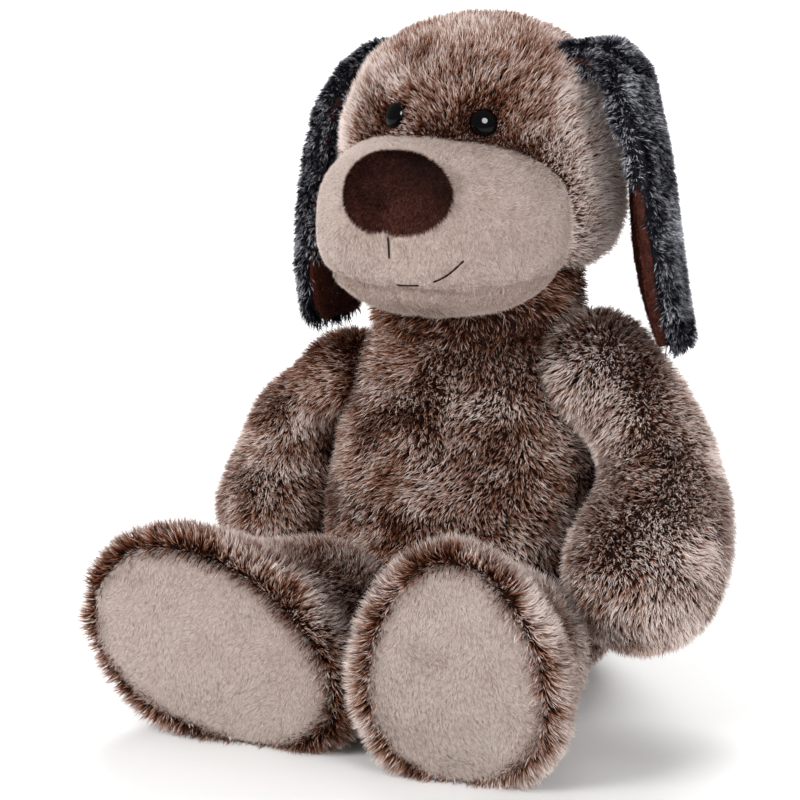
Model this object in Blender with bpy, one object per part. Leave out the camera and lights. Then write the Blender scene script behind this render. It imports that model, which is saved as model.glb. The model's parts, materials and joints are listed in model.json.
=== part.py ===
"""A sitting plush dog: sewn cloth panels over fibrefill cores, with swinging head, ears and limbs.

Units are metres and +Z is up.  The dog faces -Y and its left side is +X.  The origin is on the
floor at the middle of the dog's footprint.  Shapes are described in the body frame, whose Z axis
runs up through the seat, and the dog_frame empty moves that frame back over the footprint.

Every stuffed part starts from one smooth closed form.  Its panels are the pieces of that form's
skin between the seams, and its filling is the same form, shrunk by the cloth's thickness.
"""

import math
from dataclasses import dataclass

import bmesh
import bpy
import numpy as np
from mathutils import Matrix, Vector

# ---------------------------------------------------------------- driving dimensions
CLOTH = 0.0028            # thickness of a sewn panel, backing and compressed pile together
SEAM_GAP = 0.0006         # space between two panels at a seam
LAY_GAP = 0.0005          # space between a panel and what lies under it
NECK_GAP = 0.0016         # space round the neck's ball in its seats
LIMB_GAP = 0.0025         # space round a limb's ball end, which tilts as it swings
CUT_SNAP = 0.0002         # a corner this near a seam plane counts as on it
CUTTER_REACH = 0.0200     # how far a cutting body stands out of the surface it cuts

BODY_SETBACK = 0.0238     # the body's axis lies this far behind the middle of the footprint

HEAD_CENTRE = Vector((0.0, 0.013, 0.262))
HEAD_HALF = Vector((0.064, 0.058, 0.055))
HEAD_LOW_POWER = 4.0      # how full the cheeks are below the widest line
HEAD_TOP_POWER = 2.1
GUSSET_HALF_WIDTH = 0.013
BACK_OF_HEAD_Y = 0.046
HEAD_BASE_Z = 0.2150      # seam between the head's base and the panels above it

MUZZLE_CENTRE = Vector((0.0, -0.0305, 0.2345))
MUZZLE_HALF = Vector((0.0592, 0.0625, 0.0410))
MUZZLE_POWER = 2.5
CHIN_SEAM_Z = 0.2130
MUZZLE_BACK_Y = -0.0240   # the muzzle's open back, just in front of the neck

NOSE_CENTRE = Vector((0.0, -0.0820, 0.2545))
NOSE_HALF = Vector((0.0262, 0.0150, 0.0205))
NOSE_POWER = 2.2
NOSE_CLOTH = 0.0018
NOSE_BACK_SHARE = 0.4     # where the cover's open back is, as a share of the nose's half depth
THREAD_RADIUS = 0.0006
MOUTH_STITCHES = {
    # width and height of the points that each thread runs through
    "philtrum_stitch": ((0.0, 0.2345), (0.0, 0.2315), (0.0, 0.2285)),
    "lip_stitch": ((0.0, 0.2160), (0.0065, 0.2158), (0.0130, 0.2160)),
    "smile_stitch": ((0.0200, 0.2190), (0.0265, 0.2225), (0.0325, 0.2285)),
}

EYE_X = 0.0222
EYE_Z = 0.2828
EYE_RADIUS = 0.0065
EYE_DOME = 0.0045
EYE_STAND_OFF = 0.0011    # from the cloth to the widest part of the dome
EYE_RIM = 0.0004          # how far the dome's rounded rim reaches back
EYE_RIM_INSET = 0.0006
EYE_STEM_RADIUS = 0.0020
EYE_STEM_LENGTH = 0.0130
WASHER_RADIUS = 0.0075
WASHER_THICKNESS = 0.0016

EAR_OUTER_CLOTH = 0.0055
EAR_LINING_CLOTH = 0.0035
EAR_CUP = 0.0040          # how far an ear's edges bend towards the head
EAR_EDGE_TRIM = 0.0012    # how much narrower a layer's exposed face is than its sewn face

NECK_CENTRE = Vector((0.0, 0.008, 0.2000))
NECK_RADIUS = 0.0280

BODY_SECTIONS = (
    # height, half width, half depth of the pear-shaped body
    (0.0000, 0.0400, 0.0340),
    (0.0060, 0.0560, 0.0475),
    (0.0220, 0.0660, 0.0580),
    (0.0500, 0.0700, 0.0625),
    (0.0850, 0.0680, 0.0610),
    (0.1200, 0.0625, 0.0560),
    (0.1500, 0.0545, 0.0490),
    (0.1720, 0.0460, 0.0410),
    (0.1850, 0.0360, 0.0310),
    (0.1915, 0.0230, 0.0190),
)
BODY_TOP_Z = 0.1935
BELLY_SEAM_Y = -0.0300
SEAT_SEAM_Z = 0.0160

SHOULDER = Vector((0.0640, 0.0020, 0.1620))
SHOULDER_RADIUS = 0.0235
LEFT_ARM_SEAM_SLOPE = -0.34   # depth that the arm's side seam moves for each unit of height
RIGHT_ARM_SEAM_SLOPE = -0.02

HIP = Vector((0.0480, -0.0760, 0.0410))
HIP_RADIUS = 0.0375
LEG_PROFILE = (
    # share of the way to the sole, growth beyond the sole's outline, share of the egg's shape
    (0.350, 0.0000, 0.22),
    (0.600, 0.0010, 0.62),
    (0.800, 0.0045, 0.92),
    (0.920, 0.0050, 1.00),
    (0.985, 0.0030, 1.00),
    (1.012, -0.0035, 1.00),
)
SOLE_CROWN = (
    # share of the sole's outline, how far it stands forward of the sole's middle plane
    (0.72, 0.0045),
    (0.38, 0.0065),
)
SOLE_CROWN_TOP = 0.0072
SOLE_SEAM_SETBACK = 0.0012   # from the sole's middle plane back to its seam

TAIL_ROOT = Vector((0.0, 0.0805, 0.0400))
TAIL_TIP = Vector((0.0, 0.0950, 0.0600))
TAIL_RADIUS = 0.0100
TAIL_BOW = 0.0030         # how far the tail's middle bows backwards
TAIL_CLOTH = 0.0020

ROUND_SEGMENTS = 18       # faces round a large form
LIMB_SEGMENTS = 14        # faces round a limb
LIMB_RINGS = 6


@dataclass(frozen=True)
class Cut:
    """One seam plane: the cloth on the side that the normal points to is taken away."""

    point: Vector
    normal: Vector


@dataclass(frozen=True)
class Finish:
    """A surface's colour, roughness and metallic value."""

    colour: tuple
    roughness: float
    metallic: float = 0.0


@dataclass(frozen=True)
class Station:
    """One ring along a limb: its middle, its half width and its half depth."""

    centre: Vector
    half_width: float
    half_depth: float


@dataclass(frozen=True)
class Foot:
    """Where one foot's sole is, how it faces and how its egg-shaped outline lies."""

    side: int
    sole_centre: Vector
    yaw: float            # degrees the sole faces outwards
    pitch: float          # degrees the sole faces down
    half_long: float
    half_short: float
    narrow_end: float     # degrees from the outward direction to the egg's narrow end
    taper: float


LEFT_FOOT = Foot(1, Vector((0.0545, -0.1400, 0.0545)), 8.0, 6.0, 0.0545, 0.0410, 90.0, 0.20)
RIGHT_FOOT = Foot(-1, Vector((-0.0690, -0.1370, 0.0450)), -6.0, 2.0, 0.0630, 0.0420, 206.0, 0.13)

FROSTED_FUR = Finish((0.36, 0.25, 0.21), 0.95)
GREY_FUR = Finish((0.10, 0.10, 0.12), 0.95)
BROWN_VELBOA = Finish((0.17, 0.06, 0.04), 0.90)
BEIGE_VELBOA = Finish((0.60, 0.50, 0.42), 0.90)
NOSE_PLUSH = Finish((0.08, 0.03, 0.02), 0.90)
EYE_PLASTIC = Finish((0.01, 0.01, 0.01), 0.08)
WASHER_PLASTIC = Finish((0.75, 0.75, 0.72), 0.45)
FIBREFILL = Finish((0.90, 0.90, 0.87), 1.00)
DARK_THREAD = Finish((0.04, 0.02, 0.015), 0.80)


# ---------------------------------------------------------------- scene and materials
def clear_scene():
    """Remove every object that the file starts with."""
    for old in list(bpy.data.objects):
        bpy.data.objects.remove(old, do_unlink=True)


def material(name, finish):
    """Return the Principled material of a finish, making it the first time."""
    found = bpy.data.materials.get(name)
    if found is not None:
        return found
    made = bpy.data.materials.new(name)
    made.use_nodes = True
    shader = made.node_tree.nodes["Principled BSDF"]
    shader.inputs["Base Color"].default_value = (*finish.colour, 1.0)
    shader.inputs["Roughness"].default_value = finish.roughness
    shader.inputs["Metallic"].default_value = finish.metallic
    made.diffuse_color = (*finish.colour, 1.0)
    return made


def empty(name, place, parent=None):
    """Add an empty at a place in the body frame, under a parent empty."""
    holder = bpy.data.objects.new(name, None)
    bpy.context.collection.objects.link(holder)
    holder["place"] = list(place)
    if parent is not None:
        holder.parent = parent
        holder.location = place - Vector(parent["place"])
    else:
        holder.location = Vector((0.0, BODY_SETBACK, 0.0)) + place
    return holder


def piece(name, bm, holder, look, finish):
    """Turn a closed bmesh, in body-frame coordinates, into a named object under its empty."""
    bmesh.ops.triangulate(bm, faces=bm.faces[:])
    bmesh.ops.translate(bm, verts=bm.verts[:], vec=-Vector(holder["place"]))
    mesh = bpy.data.meshes.new(name)
    bm.to_mesh(mesh)
    bm.free()
    mesh.shade_smooth()
    mesh.set_sharp_from_angle(angle=math.radians(40.0))
    mesh.materials.append(material(look, finish))
    made = bpy.data.objects.new(name, mesh)
    bpy.context.collection.objects.link(made)
    made.parent = holder
    return made


def cutter(name, bm, holder):
    """Turn a closed bmesh into a hidden cutting body."""
    made = piece(name, bm, holder, "cutting_body", WASHER_PLASTIC)
    made.hide_render = True
    made.display_type = "WIRE"
    return made


def cut_away(target, tool):
    """Take a cutting body's volume out of a piece."""
    step = target.modifiers.new("fit_to_" + tool.name, "BOOLEAN")
    step.operation = "DIFFERENCE"
    step.object = tool
    step.solver = "EXACT"


# ---------------------------------------------------------------- closed forms
def smooth_values(values, count):
    """Run a Catmull-Rom curve through a list of values and return evenly counted points on it."""
    rows = np.asarray(values, dtype=float)
    first = 2.0 * rows[0] - rows[1]
    last = 2.0 * rows[-1] - rows[-2]
    padded = np.vstack([first, rows, last])
    at = np.linspace(0.0, len(rows) - 1.0, count)
    step = np.minimum(at.astype(int), len(rows) - 2)
    t = (at - step)[:, None]
    p0, p1, p2, p3 = (padded[step + k] for k in range(4))
    bend = 2.0 * p0 - 5.0 * p1 + 4.0 * p2 - p3
    twist = 3.0 * p1 - p0 - 3.0 * p2 + p3
    return 0.5 * (2.0 * p1 + (p2 - p0) * t + bend * t ** 2 + twist * t ** 3)


def form_from_rings(rings, start, end):
    """Join rings of points and two end points into one closed bmesh that faces outwards."""
    bm = bmesh.new()
    rows = [[bm.verts.new(point) for point in ring] for ring in rings]
    count = len(rows[0])
    first = bm.verts.new(start)
    last = bm.verts.new(end)
    for low, high in zip(rows, rows[1:]):
        for k in range(count):
            following = (k + 1) % count
            bm.faces.new((low[k], low[following], high[following], high[k]))
    for k in range(count):
        following = (k + 1) % count
        bm.faces.new((first, rows[0][following], rows[0][k]))
        bm.faces.new((last, rows[-1][k], rows[-1][following]))
    face_outwards(bm)
    remember_normals(bm)
    return bm


def face_outwards(bm):
    """Make every face of a closed bmesh point out of it."""
    bmesh.ops.recalc_face_normals(bm, faces=bm.faces[:])
    if bm.calc_volume(signed=True) < 0.0:
        bmesh.ops.reverse_faces(bm, faces=bm.faces[:])


def remember_normals(bm):
    """Keep each vertex's normal on the whole form, so that cuts made later do not change it."""
    bm.normal_update()
    layer = bm.verts.layers.float_vector.new("form_normal")
    for vert in bm.verts:
        vert[layer] = vert.normal


def superellipsoid(centre, half, low_power, top_power, rings=9, segments=ROUND_SEGMENTS):
    """Closed form |x/a|^2 + |y/b|^2 = r^2 with r^n + |z/c|^n = 1, n differing above and below."""
    angles = np.linspace(0.0, 2.0 * math.pi, segments, endpoint=False) + math.pi / segments
    made = []
    for tilt in np.linspace(-0.5 * math.pi, 0.5 * math.pi, rings + 2)[1:-1]:
        power = low_power if tilt < 0.0 else top_power
        radius = abs(math.cos(tilt)) ** (2.0 / power)
        height = math.copysign(abs(math.sin(tilt)) ** (2.0 / power), tilt)
        x = centre.x + half.x * radius * np.cos(angles)
        y = centre.y + half.y * radius * np.sin(angles)
        z = np.full_like(x, centre.z + half.z * height)
        made.append(np.column_stack([x, y, z]))
    low = centre - Vector((0.0, 0.0, half.z))
    top = centre + Vector((0.0, 0.0, half.z))
    return form_from_rings(made, low, top)


def pear_form():
    """The body: a pear, round in plan, flat where it sits and domed under the head."""
    lift = smooth_values(BODY_SECTIONS, len(BODY_SECTIONS))
    angles = np.linspace(0.0, 2.0 * math.pi, ROUND_SEGMENTS, endpoint=False)
    angles = angles + math.pi / ROUND_SEGMENTS
    rings = []
    for height, half_width, half_depth in lift:
        x = half_width * np.cos(angles)
        y = NECK_CENTRE.y + half_depth * np.sin(angles)
        rings.append(np.column_stack([x, y, np.full_like(x, max(height, 0.0))]))
    low = Vector((0.0, NECK_CENTRE.y, 0.0))
    top = Vector((0.0, NECK_CENTRE.y, BODY_TOP_Z))
    return form_from_rings(rings, low, top)


def limb_form(stations, rings=LIMB_RINGS, segments=LIMB_SEGMENTS):
    """A limb: elliptical rings square to a smooth path, closed at each end by a rounded cap."""
    table = [(*s.centre, s.half_width, s.half_depth) for s in stations]
    along = smooth_values(table, rings)
    centres = along[:, :3]
    heading = np.gradient(centres, axis=0)
    heading /= np.linalg.norm(heading, axis=1)[:, None]
    angles = np.linspace(0.0, 2.0 * math.pi, segments, endpoint=False)
    depth_axis = np.array([0.0, 1.0, 0.0])
    made = []

    def ring(middle, direction, half_width, half_depth):
        side = np.cross(depth_axis, direction)
        side /= np.linalg.norm(side)
        front = np.cross(direction, side)
        return (middle + half_width * np.outer(np.cos(angles), side)
                + half_depth * np.outer(np.sin(angles), front))

    cap_steps = np.radians((20.0, 45.0, 68.0))
    first_round = min(along[0, 3], along[0, 4])
    for tilt in cap_steps:
        back = first_round * math.cos(tilt)
        spread = math.sin(tilt)
        middle = centres[0] - heading[0] * back
        made.append(ring(middle, heading[0], along[0, 3] * spread, along[0, 4] * spread))
    for k in range(rings):
        made.append(ring(centres[k], heading[k], along[k, 3], along[k, 4]))
    last_round = min(along[-1, 3], along[-1, 4])
    for tilt in cap_steps[::-1]:
        on = last_round * math.cos(tilt)
        spread = math.sin(tilt)
        middle = centres[-1] + heading[-1] * on
        made.append(ring(middle, heading[-1], along[-1, 3] * spread, along[-1, 4] * spread))
    start = Vector(centres[0] - heading[0] * first_round)
    end = Vector(centres[-1] + heading[-1] * last_round)
    return form_from_rings(made, start, end)


def sole_frame(foot):
    """Return the sole's outward, upward and facing directions."""
    turn = Matrix.Rotation(math.radians(foot.yaw) * foot.side, 3, "Z")
    nod = Matrix.Rotation(math.radians(foot.pitch), 3, "X")
    frame = turn @ nod
    out = frame @ Vector((float(foot.side), 0.0, 0.0))
    up = frame @ Vector((0.0, 0.0, 1.0))
    face = frame @ Vector((0.0, -1.0, 0.0))
    return np.array(out), np.array(up), np.array(face)


def leg_form(foot):
    """A leg: a ball at the hip that widens to a foot whose front is an egg-shaped sole."""
    out, up, face = sole_frame(foot)
    hip = np.array((foot.side * HIP.x, HIP.y, HIP.z))
    sole = np.array(foot.sole_centre)
    angles = np.linspace(0.0, 2.0 * math.pi, LIMB_SEGMENTS, endpoint=False)
    reach = np.cos(angles)
    rise = np.sin(angles)
    narrow = math.radians(foot.narrow_end)
    along_egg = np.cos(angles - narrow)
    across_egg = np.sin(angles - narrow)
    pinch = 1.0 - foot.taper * along_egg
    long_out = foot.half_long * along_egg
    short_out = foot.half_short * across_egg * pinch
    egg_out = long_out * math.cos(narrow) - short_out * math.sin(narrow)
    egg_up = long_out * math.sin(narrow) + short_out * math.cos(narrow)
    egg_radius = np.hypot(egg_out, egg_up)
    egg_out = egg_out / egg_radius
    egg_up = egg_up / egg_radius
    square_face = np.array([0.0, -1.0, 0.0])
    square_up = np.array([0.0, 0.0, 1.0])
    square_out = np.array([float(foot.side), 0.0, 0.0])
    made = []
    for tilt in np.radians((20.0, 42.0, 64.0, 86.0)):
        middle = hip - square_face * HIP_RADIUS * math.cos(tilt)
        spread = HIP_RADIUS * math.sin(tilt)
        made.append(middle + spread * (np.outer(reach, square_out) + np.outer(rise, square_up)))
    for share, growth, egg in LEG_PROFILE:
        middle = hip + (sole - hip) * share
        wide = (1.0 - egg) * HIP_RADIUS + egg * (egg_radius + growth)
        side_way = (1.0 - egg) * np.outer(reach, square_out) + egg * np.outer(egg_out, out)
        up_way = (1.0 - egg) * np.outer(rise, square_up) + egg * np.outer(egg_up, up)
        made.append(middle + wide[:, None] * (side_way + up_way))
    for shrink, forward in SOLE_CROWN:
        middle = sole + face * forward
        made.append(middle + shrink * egg_radius[:, None]
                    * (np.outer(egg_out, out) + np.outer(egg_up, up)))
    for ring in made:
        ring[:, 2] = np.maximum(ring[:, 2], 0.0)
    start = Vector(hip - square_face * HIP_RADIUS)
    end = Vector(sole + face * SOLE_CROWN_TOP)
    return form_from_rings(made, start, end)


def ball(centre, radius, rings=8, segments=16):
    """A closed sphere."""
    bm = bmesh.new()
    bmesh.ops.create_uvsphere(bm, u_segments=segments, v_segments=rings, radius=radius)
    bmesh.ops.translate(bm, verts=bm.verts[:], vec=centre)
    return bm


# ---------------------------------------------------------------- panels and fillings
def cut_form(form, cuts):
    """Return a copy of a form with the cloth beyond every seam plane taken away."""
    bm = form.copy()
    for cut in cuts:
        normal = cut.normal.normalized()
        edge = cut.point - normal * (0.5 * SEAM_GAP)
        geometry = bm.verts[:] + bm.edges[:] + bm.faces[:]
        bmesh.ops.bisect_plane(bm, geom=geometry, dist=CUT_SNAP, plane_co=edge,
                               plane_no=normal, clear_outer=True)
    return bm


def panel_from(form, cuts, thickness=CLOTH):
    """Return one sewn panel: the form's skin between its seams, thickened inwards."""
    bm = cut_form(form, cuts)
    layer = bm.verts.layers.float_vector["form_normal"]
    outer_faces = list(bm.faces)
    rim = [edge for edge in bm.edges if edge.is_boundary]
    inner = {}
    for vert in list(bm.verts):
        normal = vert[layer].normalized()
        inner[vert] = bm.verts.new(vert.co - normal * thickness)
    for face in outer_faces:
        bm.faces.new([inner[vert] for vert in reversed(face.verts)])
    for edge in rim:
        loop = edge.link_loops[0]
        near = loop.vert
        far = loop.link_loop_next.vert
        bm.faces.new((far, near, inner[near], inner[far]))
    return bm


def filling_from(form, depth=CLOTH + LAY_GAP):
    """Return a form shrunk by a depth: the fibrefill under its panels."""
    bm = form.copy()
    layer = bm.verts.layers.float_vector["form_normal"]
    for vert in bm.verts:
        vert.co -= vert[layer].normalized() * depth
    return bm


def closed_off(bm, y):
    """Cut a filling off flat behind a depth and close it there."""
    geometry = bm.verts[:] + bm.edges[:] + bm.faces[:]
    bmesh.ops.bisect_plane(bm, geom=geometry, dist=CUT_SNAP, plane_co=(0.0, y, 0.0),
                           plane_no=(0.0, 1.0, 0.0), clear_outer=True)
    rim = [edge for edge in bm.edges if edge.is_boundary]
    bmesh.ops.holes_fill(bm, edges=rim, sides=0)
    face_outwards(bm)
    return bm


def grown_from(form, amount):
    """Return a form grown by an amount, to cut a neighbour back from it."""
    return filling_from(form, -amount)


def sides(side, x=0.0):
    """Return the seam plane that keeps only one side of the dog."""
    return Cut(Vector((side * x, 0.0, 0.0)), Vector((-side, 0.0, 0.0)))


def below(z):
    """Return the seam plane that keeps what is below a height."""
    return Cut(Vector((0.0, 0.0, z)), Vector((0.0, 0.0, 1.0)))


def above(z):
    """Return the seam plane that keeps what is above a height."""
    return Cut(Vector((0.0, 0.0, z)), Vector((0.0, 0.0, -1.0)))


def in_front(y):
    """Return the seam plane that keeps what is in front of a depth."""
    return Cut(Vector((0.0, y, 0.0)), Vector((0.0, 1.0, 0.0)))


def behind(y):
    """Return the seam plane that keeps what is behind a depth."""
    return Cut(Vector((0.0, y, 0.0)), Vector((0.0, -1.0, 0.0)))


SIDE_NAMES = {1: "left", -1: "right"}


# ---------------------------------------------------------------- the body
def build_body(frame):
    """Make the belly, back and seat panels and the filling, with seats for neck and limbs."""
    form = pear_form()
    pieces = [
        piece("belly_panel", panel_from(form, [in_front(BELLY_SEAM_Y), above(SEAT_SEAM_Z)]),
              frame, "frosted_fur", FROSTED_FUR),
        piece("seat_panel", panel_from(form, [below(SEAT_SEAM_Z)]),
              frame, "frosted_fur", FROSTED_FUR),
    ]
    for side, word in SIDE_NAMES.items():
        cuts = [behind(BELLY_SEAM_Y), above(SEAT_SEAM_Z), sides(side)]
        pieces.append(piece(f"back_panel_{word}", panel_from(form, cuts),
                            frame, "frosted_fur", FROSTED_FUR))
    pieces.append(piece("body_filling", filling_from(form), frame, "fibrefill", FIBREFILL))
    neck = cutter("neck_seat", ball(NECK_CENTRE, NECK_RADIUS + NECK_GAP), frame)
    for target in pieces:
        if target.name != "seat_panel":
            cut_away(target, neck)
    for side, word in SIDE_NAMES.items():
        shoulder = Vector((side * SHOULDER.x, SHOULDER.y, SHOULDER.z))
        hip = Vector((side * HIP.x, HIP.y, HIP.z))
        arm_seat = cutter(f"shoulder_seat_{word}",
                          ball(shoulder, SHOULDER_RADIUS + LIMB_GAP), frame)
        leg_seat = cutter(f"hip_seat_{word}", ball(hip, HIP_RADIUS + LIMB_GAP), frame)
        for target in pieces:
            if target.name.startswith("back") and not target.name.endswith(word):
                continue
            if target.name != "seat_panel":
                cut_away(target, arm_seat)
            cut_away(target, leg_seat)
    form.free()


# ---------------------------------------------------------------- the head
def eye_direction(side):
    """Return the eye's place on the head's surface and the way it looks."""
    x = EYE_X / HEAD_HALF.x
    z = (EYE_Z - HEAD_CENTRE.z) / HEAD_HALF.z
    ring = (1.0 - z ** HEAD_TOP_POWER) ** (1.0 / HEAD_TOP_POWER)
    y = -math.sqrt(ring ** 2 - x ** 2)
    place = HEAD_CENTRE + Vector((side * EYE_X, y * HEAD_HALF.y, EYE_Z - HEAD_CENTRE.z))
    looks = Vector((side * x / HEAD_HALF.x, y / HEAD_HALF.y, z / HEAD_HALF.z)).normalized()
    return place, looks


def turned(profile, place, looks, segments=14):
    """Spin a profile of (distance along the axis, radius) pairs round a direction."""
    side = looks.orthogonal().normalized()
    front = looks.cross(side)
    rings = []
    for along, radius in profile[1:-1]:
        middle = place + looks * along
        rings.append([middle + (side * math.cos(a) + front * math.sin(a)) * radius
                      for a in np.linspace(0.0, 2.0 * math.pi, segments, endpoint=False)])
    return form_from_rings(rings, place + looks * profile[0][0], place + looks * profile[-1][0])


def build_eyes(head, filling, cheeks):
    """Make two safety eyes: domes with stems through the cloth and washers behind it."""
    inside = -(CLOTH + 4.0 * LAY_GAP)
    for side, word in SIDE_NAMES.items():
        place, looks = eye_direction(side)
        front = EYE_STAND_OFF
        stem = EYE_STEM_RADIUS
        dome = [(front + EYE_DOME, 0.0)]
        for tilt in np.radians((25.0, 50.0, 72.0, 90.0)):
            dome.append((front + EYE_DOME * math.cos(tilt), EYE_RADIUS * math.sin(tilt)))
        dome += [(front - EYE_RIM, EYE_RADIUS - EYE_RIM_INSET), (front - EYE_RIM, stem),
                 (-EYE_STEM_LENGTH, stem), (-EYE_STEM_LENGTH, 0.0)]
        piece(f"eye_{word}", turned(dome, place, looks), head, "eye_plastic", EYE_PLASTIC)
        hole = stem + LAY_GAP
        back = inside - WASHER_THICKNESS
        washer = [(inside, hole), (inside, WASHER_RADIUS), (back, WASHER_RADIUS), (back, hole)]
        piece(f"eye_washer_{word}", ring_body(washer, place, looks), head,
              "washer_plastic", WASHER_PLASTIC)
        bottom = -EYE_STEM_LENGTH - LAY_GAP
        way_through = [(CUTTER_REACH, 0.0), (CUTTER_REACH, hole), (bottom, hole), (bottom, 0.0)]
        cut_away(cheeks[side], cutter(f"eye_hole_{word}", turned(way_through, place, looks), head))
        room = WASHER_RADIUS + LAY_GAP
        deep = back - LAY_GAP
        pocket = [(CUTTER_REACH, 0.0), (CUTTER_REACH, room), (deep, room), (deep, hole),
                  (bottom, hole), (bottom, 0.0)]
        cut_away(filling, cutter(f"washer_pocket_{word}", turned(pocket, place, looks), head))


def ring_body(profile, place, looks, segments=14):
    """Spin a closed profile of (distance along the axis, radius) pairs into a ring."""
    side = looks.orthogonal().normalized()
    front = looks.cross(side)
    bm = bmesh.new()
    rows = []
    for a in np.linspace(0.0, 2.0 * math.pi, segments, endpoint=False):
        way = side * math.cos(a) + front * math.sin(a)
        rows.append([bm.verts.new(place + looks * along + way * radius)
                     for along, radius in profile])
    for k, row in enumerate(rows):
        following = rows[(k + 1) % segments]
        for j in range(len(profile)):
            on = (j + 1) % len(profile)
            bm.faces.new((row[j], row[on], following[on], following[j]))
    face_outwards(bm)
    return bm


def thread(points, radius=THREAD_RADIUS, segments=5):
    """A stitched thread: a round tube along a smooth path, closed at both ends."""
    path = smooth_values([tuple(point) for point in points], 6)
    heading = np.gradient(path, axis=0)
    heading /= np.linalg.norm(heading, axis=1)[:, None]
    lift = np.array([0.0, -1.0, 0.0])
    rings = []
    for middle, direction in zip(path, heading):
        side = np.cross(lift, direction)
        side /= np.linalg.norm(side)
        out = np.cross(direction, side)
        turns = np.linspace(0.0, 2.0 * math.pi, segments, endpoint=False)
        rings.append(middle + radius * (np.outer(np.cos(turns), side)
                                        + np.outer(np.sin(turns), out)))
    return form_from_rings(rings, Vector(path[0]), Vector(path[-1]))


def muzzle_front(x, z):
    """Return the point of the muzzle's front surface at a width and a height, a thread above."""
    level = abs(z - MUZZLE_CENTRE.z) / MUZZLE_HALF.z
    ring = (1.0 - level ** MUZZLE_POWER) ** (1.0 / MUZZLE_POWER)
    reach = math.sqrt(max(ring ** 2 - (x / MUZZLE_HALF.x) ** 2, 0.0))
    stand_off = THREAD_RADIUS + LAY_GAP
    return Vector((x, MUZZLE_CENTRE.y - MUZZLE_HALF.y * reach - stand_off, z))


def build_muzzle(head, head_form):
    """Make the muzzle's two upper panels, chin panel and filling, cut back to the face."""
    form = superellipsoid(MUZZLE_CENTRE, MUZZLE_HALF, MUZZLE_POWER, MUZZLE_POWER)
    face = cutter("face_behind_muzzle", grown_from(head_form, LAY_GAP), head)
    open_back = in_front(MUZZLE_BACK_Y)
    made = [piece("muzzle_chin", panel_from(form, [open_back, below(CHIN_SEAM_Z)]), head,
                  "beige_velboa", BEIGE_VELBOA)]
    for side, word in SIDE_NAMES.items():
        cuts = [open_back, above(CHIN_SEAM_Z), sides(side)]
        made.append(piece(f"muzzle_side_{word}", panel_from(form, cuts), head,
                          "beige_velboa", BEIGE_VELBOA))
    made.append(piece("muzzle_filling", closed_off(filling_from(form), MUZZLE_BACK_Y), head,
                      "fibrefill", FIBREFILL))
    for target in made:
        cut_away(target, face)
    build_nose(head, form)
    for name, way in MOUTH_STITCHES.items():
        piece(name, thread([muzzle_front(x, z) for x, z in way]), head,
              "dark_thread", DARK_THREAD)
    form.free()


def build_nose(head, muzzle_form):
    """Make the plush nose: a padded cover and its filling, seated on the muzzle's front."""
    seat = cutter("muzzle_behind_nose", grown_from(muzzle_form, LAY_GAP), head)
    form = superellipsoid(NOSE_CENTRE, NOSE_HALF, NOSE_POWER, NOSE_POWER, rings=7, segments=16)
    back = NOSE_CENTRE.y + NOSE_BACK_SHARE * NOSE_HALF.y
    cover = piece("nose_cover", panel_from(form, [in_front(back)], NOSE_CLOTH), head,
                  "nose_plush", NOSE_PLUSH)
    core = filling_from(form, NOSE_CLOTH + LAY_GAP)
    filling = piece("nose_filling", core, head, "fibrefill", FIBREFILL)
    cut_away(cover, seat)
    cut_away(filling, seat)
    form.free()


def build_head(head):
    """Make the head's gusset, side and back panels, its filling, and what is sewn to them."""
    form = superellipsoid(HEAD_CENTRE, HEAD_HALF, HEAD_LOW_POWER, HEAD_TOP_POWER, rings=10)
    over_base = above(HEAD_BASE_Z)
    gusset_cuts = [over_base, in_front(BACK_OF_HEAD_Y), sides(1, -GUSSET_HALF_WIDTH),
                   sides(-1, -GUSSET_HALF_WIDTH)]
    piece("head_gusset", panel_from(form, gusset_cuts), head, "frosted_fur", FROSTED_FUR)
    cheeks = {}
    for side, word in SIDE_NAMES.items():
        cuts = [over_base, in_front(BACK_OF_HEAD_Y), sides(side, GUSSET_HALF_WIDTH)]
        cheeks[side] = piece(f"head_side_{word}", panel_from(form, cuts), head,
                             "frosted_fur", FROSTED_FUR)
        cuts = [over_base, behind(BACK_OF_HEAD_Y), sides(side)]
        piece(f"head_back_{word}", panel_from(form, cuts), head, "frosted_fur", FROSTED_FUR)
    base = piece("head_base", panel_from(form, [below(HEAD_BASE_Z)]), head,
                 "frosted_fur", FROSTED_FUR)
    filling = piece("head_filling", filling_from(form), head, "fibrefill", FIBREFILL)
    neck = cutter("neck_seat_above", ball(NECK_CENTRE, NECK_RADIUS + NECK_GAP), head)
    cut_away(base, neck)
    cut_away(filling, neck)
    build_eyes(head, filling, cheeks)
    build_muzzle(head, form)
    form.free()


# ---------------------------------------------------------------- ears
@dataclass(frozen=True)
class Ear:
    """One ear: its side, its middle's depth, how it hangs and how its front edge turns out."""

    side: int
    centre_y: float
    turn: float           # degrees that the front edge turns outwards
    spread: float         # how far the hanging part stands out, as a share of the path's
    length: float         # its length, as a share of the path's


LEFT_EAR = Ear(1, 0.0060, 34.0, 1.0, 1.0)
RIGHT_EAR = Ear(-1, 0.0270, 12.0, 0.72, 1.02)

EAR_ROOT_X = 0.0530
EAR_ROOT_Z = 0.3010
EAR_PATH = (
    # outwards from the seam, down from the seam, half width of the ear
    (0.0000, 0.0000, 0.0150),
    (0.0160, -0.0025, 0.0190),
    (0.0285, 0.0110, 0.0235),
    (0.0360, 0.0390, 0.0280),
    (0.0405, 0.0690, 0.0300),
    (0.0440, 0.0930, 0.0290),
    (0.0485, 0.1130, 0.0220),
    (0.0500, 0.1225, 0.0120),
)


def ear_hinge(ear):
    """Return the middle of the seam that an ear hangs from."""
    return Vector((ear.side * EAR_ROOT_X, ear.centre_y, EAR_ROOT_Z))


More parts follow.
